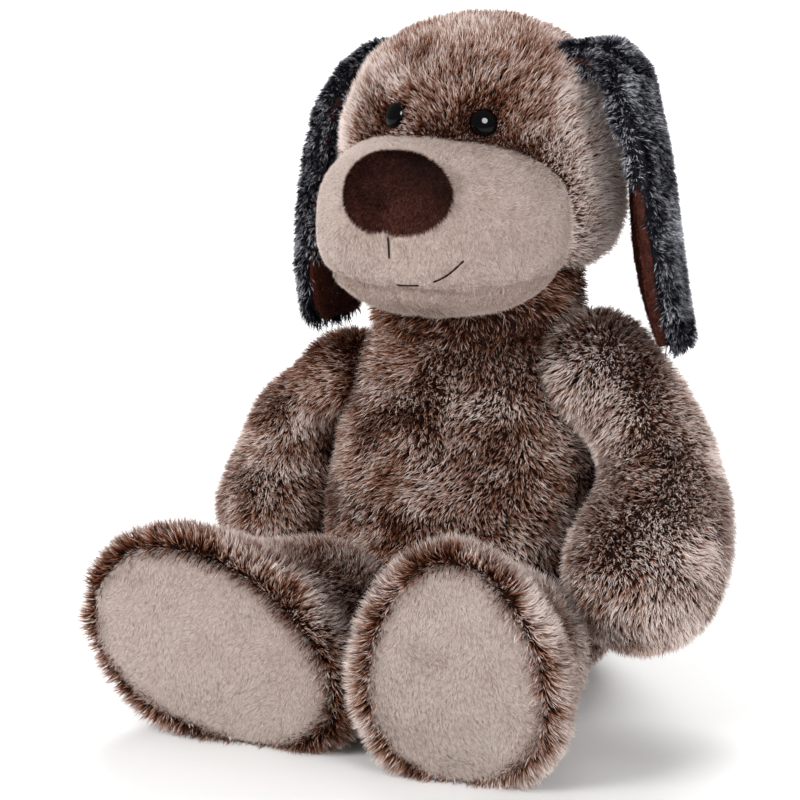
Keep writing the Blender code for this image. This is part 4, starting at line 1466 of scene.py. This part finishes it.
@dataclass
class Eye:
    """A safety eye: a polished dome on a ridged stem."""

    side: Side
    radius: float = 0.0066
    dome: float = 0.0042
    sunk: float = 0.0010
    turned_out: float = 12.0
    stem_radius: float = 0.0019
    stem_length: float = 0.0115
    ridge: float = 0.00025
    edge: float = 0.0007

    def place(self) -> tuple[Array, Array, float]:
        """Return the washer's middle, the way the eye looks and how far its top stands out.

        Returns:
            The middle, the direction and the height.
        """
        eye = corners_of(f"eye_{self.side.word}")
        washer = corners_of(f"eye_washer_{self.side.word}").mean(axis=0)
        looks = unit(eye.mean(axis=0) - washer)
        return washer, looks, float(((eye - washer) @ looks).max())

    def middle(self) -> Array:
        """Return the middle of the dome's rim, a little sunk into the fur."""
        washer, looks, top = self.place()
        return washer + looks * (top - 0.0045 - self.sunk)

    def build(self) -> bpy.types.Object:
        """Make the eye by carrying its profile round its axis.

        The dome is a quarter of an ellipse, then comes a rounded rim, a flat back and a stem
        whose radius rises and falls along it.

        Returns:
            The eye.
        """
        _, looks, _ = self.place()
        middle = self.middle()
        turn = math.radians(self.turned_out) * self.side.value
        looks = np.array([looks[0] * math.cos(turn) - looks[1] * math.sin(turn),
                          looks[0] * math.sin(turn) + looks[1] * math.cos(turn), looks[2]])
        turns = np.linspace(0.0, 2.0 * math.pi, 40, endpoint=False)
        tilt = np.linspace(0.12, 0.5 * math.pi, 12)
        rim = np.linspace(0.0, 0.5 * math.pi, 4)[1:]
        stem = np.linspace(0.0, 1.0, 24)
        ridges = self.ridge * np.cos(stem * 16.0 * math.pi)
        along = np.concatenate([self.dome * np.cos(tilt), -self.edge * np.sin(rim),
                                [-self.edge], -self.edge - 0.0001 - self.stem_length * stem])
        radius = np.concatenate([self.radius * np.sin(tilt),
                                 self.radius - self.edge * (1.0 - np.cos(rim)), [0.0030],
                                 self.stem_radius - ridges])
        across = unit(np.cross(looks, np.array([0.0, 0.0, 1.0])))
        upward = np.cross(across, looks)
        ring = across * np.cos(turns)[:, None] + upward * np.sin(turns)[:, None]
        rows = middle + looks * along[:, None, None] + ring[None] * radius[:, None, None]
        piece = closed_grid(f"eye_{self.side.word}_dome", rows,
                            [middle + looks * self.dome], [middle + looks * along[-1]])
        return dressed(piece, Rider("head"), WARDROBE.plastic(EYE_PLASTIC), "eye_plastic",
                       f"eye_{self.side.word}")


@dataclass
class Stitch:
    """One embroidered line of twisted thread, laid on the muzzle."""

    node: str
    sag: float = 0.0
    reach: float = 1.0
    radius: float = 0.00040
    pitch: float = 0.0022
    points: Array = field(default_factory=lambda: np.zeros((0, 3)))

    def lay(self, ground: BVHTree) -> None:
        """Lay the thread's line on the muzzle.

        The line runs corner to corner through the CAD thread's box, or straight up through a
        narrow one, with a slight sag, and every point is dropped onto the muzzle from in front.

        Args:
            ground: the muzzle's surface.
        """
        low, high = corners_of(self.node).min(axis=0), corners_of(self.node).max(axis=0)
        share = np.linspace(0.0, 1.0, 24)
        across_it = high[0] - low[0] > 0.002
        sag = self.sag * np.sin(math.pi * share)
        x = low[0] + (high[0] - low[0]) * share if across_it else np.zeros(len(share))
        z = low[2] + (high[2] - low[2]) * share * self.reach - sag
        path = []
        for across, height in zip(x, z):
            hit = ground.ray_cast(Vector((across, low[1] - 0.05, height)), Vector((0, 1, 0)))
            path.append([across, hit[0].y - 0.0007, height])
        self.points = np.array(path)

    def build(self) -> bpy.types.Object:
        """Make two strands twisted round each other along the line, as one closed rope.

        The rope's radius is r * (1 + 0.28 cos 2(angle - twist)), which turns along the line.

        Returns:
            The thread.
        """
        heading = unit(np.gradient(self.points, axis=0))
        side = unit(np.cross(heading, np.array([0.0, -1.0, 0.0])))
        front = np.cross(side, heading)
        run = np.concatenate([[0.0], np.cumsum(np.linalg.norm(np.diff(self.points, axis=0),
                                                              axis=1))])
        angle = np.linspace(0.0, 2.0 * math.pi, 12, endpoint=False)[None, :]
        twist = (2.0 * math.pi * run / self.pitch)[:, None]
        ends = np.sqrt(np.clip(np.minimum(run, run[-1] - run) / self.radius + 0.35, 0.0, 1.0))
        radius = self.radius * (1.0 + 0.28 * np.cos(2.0 * (angle - twist))) * ends[:, None]
        rows = (self.points[:, None, :] + side[:, None, :] * (radius * np.cos(angle))[..., None]
                + front[:, None, :] * (radius * np.sin(angle))[..., None])
        piece = closed_grid(f"{self.node}_thread", rows, self.points[:1], self.points[-1:])
        return dressed(piece, Rider("head"), WARDROBE.cloth(DARK_THREAD), "dark_thread",
                       self.node)


@dataclass
class Ear:
    """A hanging ear: tufted grey fur outside, short brown pile inside.

    Attributes:
        side: the dog's left or right.
        drop: how much farther the tip hangs.
        widen: how far the front edge spreads.
        curl: how far the outer layer's front edge turns in over the lining.
        curl_to: how far below the root that turn ends.
        lift: how far the root's top bulges up.
        fringe: how much longer the strands at the tip are.
        turned_to: how far below the root the grey fur laps round onto the lining.
        lap_strands: strands on that lap.
        outer_strands: strands on the outside.
        lining_strands: strands on the lining.
    """

    side: Side
    drop: float = 0.0
    widen: float = 0.0
    curl: float = 0.0
    curl_to: float = 0.050
    lift: float = 0.007
    fringe: float = 0.3
    turned_to: float = 0.045
    lap_strands: int = 6000
    outer_strands: int = 33000
    lining_strands: int = 18000

    def mould(self, points: Array) -> Array:
        """Tuck the root into the head's fur, let the tip hang and spread the front edge.

        Args:
            points: a layer's points.

        Returns:
            The moved points.
        """
        pivot = pivot_of(f"ear_{self.side.word}_swing")
        moved = points.copy()
        out = (points[:, 0] - pivot[0]) * self.side.value
        depth = pivot[2] - points[:, 2]
        low, high = points[:, 1].min(), points[:, 1].max()
        front = 1.0 - smooth_step(points[:, 1], low, 0.4 * low + 0.6 * high)
        root = 1.0 - smooth_step(out, 0.000, 0.016)
        collar = (1.0 - smooth_step(out, 0.004, 0.030)) * (1.0 - smooth_step(depth, 0.0, 0.035))
        moved[:, 0] -= self.side.value * 0.010 * root
        moved[:, 1] += 0.024 * collar * front
        moved[:, 2] += self.lift * (1.0 - smooth_step(depth, -0.002, 0.030))
        hang = smooth_step(depth, 0.060, 0.125)
        moved[:, 2] -= self.drop * hang
        waist = smooth_step(depth, 0.030, 0.060)
        moved[:, 0] -= self.side.value * self.widen * front * waist
        moved[:, 1] -= 0.5 * self.widen * front * waist
        return moved

    def curled(self, points: Array) -> Array:
        """Turn the outer layer's front edge in over the lining, down to a depth.

        Args:
            points: the outer layer's points.

        Returns:
            The moved points.
        """
        pivot = pivot_of(f"ear_{self.side.word}_swing")
        depth = pivot[2] - points[:, 2]
        edge = 1.0 - smooth_step(points[:, 1] - points[:, 1].min(), 0.004, 0.024)
        amount = self.curl * edge * (1.0 - smooth_step(depth, self.curl_to - 0.025,
                                                       self.curl_to))
        turned = points.copy()
        turned[:, 0] -= self.side.value * amount
        turned[:, 1] -= 0.5 * amount
        return turned

    def lapped(self, points: Array) -> Array:
        """Return where the grey fur laps onto the lining: its front edge, down to a depth.

        Args:
            points: the lining's points.

        Returns:
            One value from 0 to 1 for each point.
        """
        depth = pivot_of(f"ear_{self.side.word}_swing")[2] - points[:, 2]
        front = 1.0 - smooth_step(points[:, 1] - points[:, 1].min(), 0.024, 0.034)
        return front * (1.0 - smooth_step(depth, self.turned_to - 0.006, self.turned_to + 0.004))

    def layer(self, word: str) -> bpy.types.Object:
        """Make one layer's skin from its CAD node, evenly meshed, rounded and moulded.

        Args:
            word: outer or lining, as the nodes name them.

        Returns:
            The layer's skin.
        """
        piece = grown_copy(f"ear_{self.side.word}_{word}_skin",
                           f"ear_{self.side.word}_{word}", 0.0005)
        even = piece.modifiers.new("even_weave", "REMESH")
        even.mode = "VOXEL"
        even.voxel_size = 0.0016
        rounding = piece.modifiers.new("rounding", "SMOOTH")
        rounding.iterations = 2
        settle(piece)
        points = read_points(piece)
        if word == "outer":
            points = self.curled(points)
        write_points(piece, self.mould(points))
        return piece

    def build(self) -> None:
        """Make both layers, with pile only on their open faces."""
        rider = Rider(f"ear_{self.side.word}")
        outer, lining = self.layer("outer"), self.layer("lining")
        outer_skin, lining_skin = Skin.of(outer), Skin.of(lining)
        pivot = pivot_of(f"ear_{self.side.word}_swing")
        gap = nearest_gap(outer_skin.points + outer_skin.normals * 0.002,
                          lining_skin.points[::3])
        coat = outer_skin.coat((0.0, 0.0, -1.0), 0.50)
        coat.thickness = np.maximum(smooth_step(gap, 0.0022, 0.0042), 1e-5)
        height = outer_skin.points[:, 2] - outer_skin.points[:, 2].min()
        tip = 1.0 - smooth_step(height, 0.001, 0.010)
        root = 1.0 - smooth_step((outer_skin.points[:, 0] - pivot[0]) * self.side.value,
                                 -0.004, 0.012)
        coat.length = (1.0 + self.fringe * tip) * (1.0 - 0.30 * root)
        coat.tint -= 0.14 * root + 0.25 * tip * (self.fringe > 0.5)
        seed = 61 if self.side is Side.LEFT else 63
        furred(f"ear_{self.side.word}_fur", outer_skin, coat, EAR_FUR, self.outer_strands,
               seed, GREY_FUR, rider)
        gap = nearest_gap(lining_skin.points + lining_skin.normals * 0.002,
                          outer_skin.points[::3])
        lap = self.lapped(lining_skin.points)
        bare = smooth_step(gap, 0.0022, 0.0042)
        coat = lining_skin.coat((0.0, -0.4, -1.0), 0.46)
        coat.thickness = np.maximum(lap * bare, 1e-6)
        furred(f"ear_{self.side.word}_lap_fur", lining_skin, coat, EAR_FUR, self.lap_strands,
               seed + 4, GREY_FUR, rider)
        coat = lining_skin.coat((0.0, 0.0, -1.0), 0.5)
        coat.thickness = np.maximum((1.0 - lap) * bare, 1e-5)
        furred(f"ear_{self.side.word}_pile", lining_skin, coat, LINING,
               self.lining_strands, seed + 1, BROWN_PILE, rider)
        dressed(outer, rider, WARDROBE.cloth(GREY_BACKING), "grey_fur",
                f"ear_{self.side.word}_outer")
        dressed(lining, rider, WARDROBE.cloth(BROWN_BACKING), "brown_velboa",
                f"ear_{self.side.word}_lining")


@dataclass
class Arm:
    """An arm: a stuffed tube that hangs from its ball at the shoulder."""

    side: Side
    slump: float = 0.0
    tint: float = 0.72
    strands: int = 51000
    swell: Swell = Swell(0.0045, cap=0.0022, shrink=0.0010)
    stuffing_gap: float = 0.0034

    def skin(self) -> bpy.types.Object:
        """Make the skin, whose shoulder sinks by slump * (3t^2 - 2t^3) of its height.

        Returns:
            The arm's skin.
        """
        word = self.side.word
        piece = grown_copy(f"arm_{word}_skin", f"arm_{word}_filling", 0.0033)
        pivot = pivot_of(f"arm_{word}_raise")
        stuffed(piece, self.swell)
        points = read_points(piece)
        points[:, 2] -= self.slump * smooth_step(points[:, 2], pivot[2] - 0.045,
                                                 pivot[2] + 0.012)
        write_points(piece, points)
        lumpy(piece, 0.0008, 0.024, 70)
        return piece

    def stuffing(self, skin: bpy.types.Object) -> None:
        """Make the filling: the skin's points drawn in along their normals.

        Args:
            skin: the arm's skin.
        """
        word = self.side.word
        piece = bpy.data.objects.new(f"arm_{word}_stuffing", skin.data.copy())
        bpy.context.scene.collection.objects.link(piece)
        write_points(piece, read_points(skin) - read_normals(skin) * self.stuffing_gap)
        dressed(piece, Rider(f"arm_{word}"), WARDROBE.cloth(STUFFING), "fibrefill",
                f"arm_{word}_filling")

    def build(self) -> None:
        """Make the skin, its filling and its fur."""
        word = self.side.word
        rider = Rider(f"arm_{word}")
        piece = self.skin()
        self.stuffing(piece)
        skin = Skin.of(piece)
        points = skin.points
        coat = skin.coat((0.15 * self.side.value, -0.1, -1.0))
        coat.tint = self.tint + 0.08 * smooth_step(np.abs(points[:, 0]), 0.09, 0.13)
        for middle in ((0.104, -0.014, 0.128), (0.100, -0.030, 0.070)):
            patch = spot(points, (middle[0] * self.side.value, *middle[1:]), 0.010)
            coat.tint -= 0.16 * patch
        low = 1.0 - smooth_step(points[:, 2], 0.045, 0.060)
        coat.tint += 0.08 * low
        seed = 71 if self.side is Side.LEFT else 72
        furred(f"arm_{word}_fur", skin, coat, LONG_FUR, self.strands, seed, FROSTED_FUR, rider)
        dressed(piece, rider, WARDROBE.cloth(FUR_BACKING), "frosted_fur",
                f"arm_{word}_front", f"arm_{word}_back")


@dataclass(frozen=True)
class SolePlan:
    """Where a sole lies and how its egg-shaped outline runs.

    Attributes:
        middle: the sole's middle.
        yaw: degrees that it faces outwards.
        pitch: degrees that it faces down.
        half_long: half the egg's length.
        half_short: half its width.
        narrow_end: degrees from the outward direction to the narrow end.
        taper: how much narrower that end is.
    """

    middle: tuple[float, float, float]
    yaw: float
    pitch: float
    half_long: float
    half_short: float
    narrow_end: float
    taper: float


SOLES = {
    Side.LEFT: SolePlan(middle=(0.0545, -0.1162, 0.0545), yaw=8.0, pitch=6.0, half_long=0.0545,
                        half_short=0.0410, narrow_end=90.0, taper=0.20),
    Side.RIGHT: SolePlan(middle=(-0.0690, -0.1132, 0.0450), yaw=-6.0, pitch=2.0,
                         half_long=0.0630, half_short=0.0420, narrow_end=206.0, taper=0.13),
}


@dataclass
class Leg:
    """A leg with its furry sides and its flat velvety sole."""

    side: Side
    strands: int = 46000
    sole_strands: int = 52000
    sole_tint: float = 0.92
    swell: Swell = Swell(0.005, cap=0.0022, shrink=0.0010)
    sole_swell: Swell = Swell(0.0034, cap=0.0016, shrink=0.0008, relax=3, levels=1, fill=0.6)

    def sole_axes(self) -> tuple[Array, Array, Array]:
        """Return the sole's outward, upward and facing directions.

        Returns:
            Three unit vectors.
        """
        plan = SOLES[self.side]
        yaw, pitch = math.radians(plan.yaw) * self.side.value, math.radians(plan.pitch)
        turn = np.array([[math.cos(yaw), -math.sin(yaw), 0.0],
                         [math.sin(yaw), math.cos(yaw), 0.0], [0.0, 0.0, 1.0]])
        nod = np.array([[1.0, 0.0, 0.0], [0.0, math.cos(pitch), -math.sin(pitch)],
                        [0.0, math.sin(pitch), math.cos(pitch)]])
        both = turn @ nod
        return both @ [self.side.value, 0.0, 0.0], both @ [0.0, 0.0, 1.0], both @ [0.0, -1.0, 0.0]

    def outline(self, angles: Array) -> Array:
        """Return the egg's points: long cos a along it, short sin a (1 - taper cos a) across.

        Args:
            angles: angles round the egg.

        Returns:
            One point for each angle, from the sole's middle.
        """
        plan = SOLES[self.side]
        out, up, _ = self.sole_axes()
        narrow = math.radians(plan.narrow_end)
        long_way = plan.half_long * np.cos(angles - narrow)
        short_way = (plan.half_short * np.sin(angles - narrow)
                     * (1.0 - plan.taper * np.cos(angles - narrow)))
        x = long_way * math.cos(narrow) - short_way * math.sin(narrow)
        z = long_way * math.sin(narrow) + short_way * math.cos(narrow)
        return x[:, None] * out + z[:, None] * up

    def share_of_outline(self, points: Array) -> Array:
        """Return how far out points lie in the sole's plane, 1 on the egg's outline.

        Args:
            points: the points.

        Returns:
            One share for each point.
        """
        plan = SOLES[self.side]
        out, up, _ = self.sole_axes()
        x, z = ((points - np.array(plan.middle)) @ way for way in (out, up))
        narrow = math.radians(plan.narrow_end)
        along = (x * math.cos(narrow) + z * math.sin(narrow)) / plan.half_long
        across = (z * math.cos(narrow) - x * math.sin(narrow)) / plan.half_short
        return np.hypot(along, across / (1.0 - plan.taper * np.clip(along, -1.0, 1.0)))

    def sole(self) -> bpy.types.Object:
        """Make the sole's pad: the egg, crowned in front by (1 - s^2.6) and flat behind.

        Returns:
            The sole's pad.
        """
        plan = SOLES[self.side]
        _, _, face = self.sole_axes()
        edge = self.outline(np.linspace(0.0, 2.0 * math.pi, 72, endpoint=False))
        front = np.sin(np.linspace(0.06, 0.5 * math.pi, 14))
        share = np.concatenate([front, front[::-1][1:]])
        rise = np.concatenate([0.0075 * (1.0 - front ** 2.6),
                               np.full(len(front) - 1, -0.0035)])
        rows = (np.array(plan.middle) + face * rise[:, None, None]
                + share[:, None, None] * edge[None])
        middle = np.array(plan.middle)
        piece = closed_grid(f"sole_{self.side.word}_pad", rows, [middle + face * 0.0076],
                            [middle - face * 0.0036])
        stuffed(piece, self.sole_swell)
        lumpy(piece, 0.0011, 0.024, 82)
        return piece

    def build(self) -> None:
        """Make the leg's skin and fur, and the sole's pad and pile."""
        word = self.side.word
        rider = Rider(f"leg_{word}")
        _, _, face = self.sole_axes()
        middle = np.array(SOLES[self.side].middle)
        pivot = pivot_of(f"leg_{word}_swing")
        piece = stuffed(grown_copy(f"leg_{word}_skin", f"leg_{word}_filling", 0.0030),
                        self.swell)
        points = read_points(piece)
        forward = (points - middle) @ face
        inside = 1.0 - smooth_step(self.share_of_outline(points), 0.93, 1.0)
        write_points(piece, points - face * (inside * np.maximum(forward + 0.004, 0.0))[:, None])
        skin = Skin.of(piece)
        points = skin.points
        forward = (points - middle) @ face
        axis = unit(middle - pivot)
        to_rim = smooth_step(forward, -0.030, -0.006)
        outwards = unit(points - middle - forward[:, None] * face)
        comb = (axis * 0.9 + np.array([0.0, 0.0, -0.25])) * (1.0 - to_rim[:, None])
        comb = comb + (outwards + 0.2 * face) * to_rim[:, None]
        coat = skin.coat(comb)
        share = self.share_of_outline(points)
        ahead = smooth_step(forward, -0.010, -0.004)
        front = np.maximum(ahead, smooth_step(skin.normals @ face, 0.3, 0.6))
        coat.thickness = 1.0 - front * (1.0 - smooth_step(share, 0.955, 0.985))
        coat.thickness *= 1.0 + 1.2 * smooth_step(forward, -0.016, -0.004)
        coat.thickness *= 0.15 + 0.85 * smooth_step(np.linalg.norm(points - pivot, axis=1),
                                                    0.026, 0.040)
        coat.thickness *= 0.1 + 0.9 * smooth_step(points[:, 2], 0.0, 0.003)
        coat.thickness = np.maximum(coat.thickness, 1e-6)
        edge = smooth_step(forward, -0.008, -0.001)
        coat.tint = 0.66 - 0.26 * edge + 0.16 * (self.side is Side.LEFT)
        coat.length = 1.0 + 0.25 * to_rim
        coat.lean = 1.0 - 0.55 * to_rim
        seed = 81 if self.side is Side.LEFT else 83
        furred(f"leg_{word}_fur", skin, coat, LONG_FUR, self.strands, seed, FROSTED_FUR, rider)
        dressed(piece, rider, WARDROBE.cloth(FUR_BACKING), "frosted_fur",
                f"leg_{word}_inner", f"leg_{word}_outer")
        pad = self.sole()
        sole_skin = Skin.of(pad)
        coat = sole_skin.coat((0.35 * self.side.value, 0.0, -1.0), self.sole_tint)
        rim = smooth_step(self.share_of_outline(sole_skin.points), 0.88, 1.0)
        coat.length = 1.0 + 0.7 * rim
        coat.thickness = np.maximum(smooth_step(sole_skin.normals @ face, 0.0, 0.3), 1e-5)
        furred(f"sole_{word}_pile", sole_skin, coat, VELBOA, self.sole_strands, seed + 1,
               BEIGE_PILE, rider)
        dressed(pad, rider, WARDROBE.cloth(BEIGE_BACKING), "beige_velboa", f"sole_{word}")


@dataclass
class Tail:
    """The short tail."""

    strands: int = 7000
    swell: Swell = Swell(0.003, cap=0.0010, shrink=0.0004, relax=2)

    def build(self) -> None:
        """Make the skin and its fur."""
        rider = Rider("tail")
        piece = stuffed(grown_copy("tail_skin", "tail_filling", 0.0024), self.swell)
        skin = Skin.of(piece)
        coat = skin.coat((0.0, 0.35, 1.0), 0.5)
        furred("tail_fur", skin, coat, LONG_FUR, self.strands, 91, FROSTED_FUR, rider)
        dressed(piece, rider, WARDROBE.cloth(FUR_BACKING), "frosted_fur", "tail_left",
                "tail_right")


class Insides:
    """The CAD nodes that stay: fillings and washers."""

    def dress(self) -> None:
        """Give each its own material."""
        for name, node in frame["nodes"].items():
            if name.endswith("_filling"):
                self.repaint(node, WARDROBE.cloth(STUFFING))
            elif name.startswith("eye_washer"):
                self.repaint(node, WARDROBE.plastic(WASHER_PLASTIC))

    @staticmethod
    def repaint(node: bpy.types.Object, look: bpy.types.Material) -> None:
        """Put a material in every slot of a node.

        Args:
            node: the CAD node.
            look: its material.
        """
        for slot in node.material_slots:
            slot.material = look
        LOG.info("%s: dressed", node.name)


# ------------------------------------------------------------------ studio
@dataclass(frozen=True)
class Lamp:
    """One soft lamp: its place and aim, size, power, whether it glints on gloss, its colour."""

    name: str
    place: tuple[float, float, float]
    aim: tuple[float, float, float]
    size: float
    power: float
    glint: bool
    colour: Colour


@dataclass
class Studio:
    """The floor, the lamps and the camera."""

    target: tuple[float, float, float] = (0.0, -0.0212, 0.150)
    azimuth: float = 25.0
    elevation: float = 16.0
    distance: float = 1.5
    lens: float = 143.55
    aside: float = 0.01505
    floor_half: float = 9.0
    room_light: float = 0.38
    lamps: tuple[Lamp, ...] = (
        Lamp("lamp_left", (-1.00, -1.50, 1.35), (0.0, 0.0, 0.16), 0.9, 30.0,
             False, (1.0, 0.99, 0.98)),
        Lamp("lamp_right", (1.65, -1.00, 0.80), (0.0, 0.0, 0.15), 0.8, 19.0,
             False, (1.0, 1.0, 1.0)),
        Lamp("lamp_above", (-0.30, 0.25, 1.50), (0.0, 0.0, 0.15), 1.0, 4.0,
             False, (1.0, 1.0, 1.0)),
        Lamp("lamp_glint", (0.80, -0.92, 1.15), (0.0, 0.0, 0.25), 0.75, 60.0,
             True, (1.0, 1.0, 1.0)),
        Lamp("lamp_floor", (-0.90, 2.60, 2.30), (-0.90, 2.60, 0.0), 2.6, 150.0,
             False, (1.0, 1.0, 1.0)),
    )

    def build(self) -> None:
        """Make the studio."""
        self.make_floor()
        for lamp in self.lamps:
            self.make_lamp(lamp)
        self.make_camera()
        world = bpy.data.worlds.new("pale_room")
        world.use_nodes = True
        background = world.node_tree.nodes["Background"]
        background.inputs["Color"].default_value = (1.0, 1.0, 1.0, 1.0)
        background.inputs["Strength"].default_value = self.room_light
        bpy.context.scene.world = world
        bpy.context.scene.view_settings.view_transform = "Standard"

    def make_floor(self) -> None:
        """Make the wide pale floor."""
        half = self.floor_half
        corner = np.array([[-half, -half, 0.0], [half, -half, 0.0], [half, half, 0.0],
                           [-half, half, 0.0]])
        floor = mesh_object("studio_floor", corner, np.arange(4), np.array([0]))
        look = Look("studio_floor_paint", 0.9)
        tone = look.noise(0.8, 2.0)
        look.feed("Base Color", look.ramp(tone, ((0.0, (0.90, 0.90, 0.90)),
                                                 (1.0, (0.94, 0.94, 0.94)))))
        floor.data.materials.append(look.material)

    def make_lamp(self, lamp: Lamp) -> None:
        """Make one round lamp.

        Args:
            lamp: the lamp's settings.
        """
        light = bpy.data.lights.new(lamp.name, "AREA")
        light.shape = "DISK"
        light.size = lamp.size
        light.energy = lamp.power
        light.color = lamp.colour
        holder = bpy.data.objects.new(lamp.name, light)
        holder.location = lamp.place
        holder.rotation_mode = "QUATERNION"
        way = Vector(lamp.aim) - Vector(lamp.place)
        holder.rotation_quaternion = way.to_track_quat("-Z", "Y")
        holder.visible_glossy = lamp.glint
        holder.visible_diffuse = not lamp.glint
        bpy.context.scene.collection.objects.link(holder)

    def make_camera(self) -> None:
        """Make the camera, looking at the dog from its left front and slightly above."""
        turn, tilt = math.radians(self.azimuth), math.radians(self.elevation)
        back = Vector((math.sin(turn) * math.cos(tilt), -math.cos(turn) * math.cos(tilt),
                       math.sin(tilt)))
        right = Vector((math.cos(turn), math.sin(turn), 0.0))
        lens = bpy.data.cameras.new("view_camera")
        lens.lens = self.lens
        lens.sensor_width = 36.0
        camera = bpy.data.objects.new("view_camera", lens)
        camera.location = Vector(self.target) - right * self.aside + back * self.distance
        camera.rotation_mode = "QUATERNION"
        camera.rotation_quaternion = (-back).to_track_quat("-Z", "Y")
        bpy.context.scene.collection.objects.link(camera)
        bpy.context.scene.camera = camera


def main() -> None:
    """Build the dog part by part, then the studio."""
    logging.basicConfig(level=logging.INFO, format="%(message)s")
    Studio().build()
    Torso().build()
    Neck().build()
    muzzle_maker, nose_maker = Muzzle(), Nose()
    muzzle, nose = muzzle_maker.skin(), nose_maker.skin()
    ground = BVHTree.FromObject(muzzle, bpy.context.evaluated_depsgraph_get())
    stitches = [Stitch("philtrum_stitch", reach=1.7), Stitch("lip_stitch"),
                Stitch("smile_stitch", sag=0.0014)]
    for stitch in stitches:
        stitch.lay(ground)
        stitch.build()
    threads = np.vstack([stitch.points for stitch in stitches])
    muzzle_maker.dress(muzzle, read_points(nose), threads)
    nose_maker.dress(nose)
    eyes = [Eye(side) for side in Side]
    for eye in eyes:
        eye.build()
    Head().build(read_points(muzzle), np.array([eye.middle() for eye in eyes]))
    Ear(Side.LEFT, widen=0.006, curl=0.005, curl_to=0.060).build()
    Ear(Side.RIGHT, drop=0.009, lift=-0.006, fringe=0.9, turned_to=0.100, lap_strands=12000).build()
    Arm(Side.LEFT).build()
    Arm(Side.RIGHT, slump=0.024, tint=0.44).build()
    for side in Side:
        Leg(side).build()
    Tail().build()
    Insides().dress()


if __name__ == "__main__":
    main()
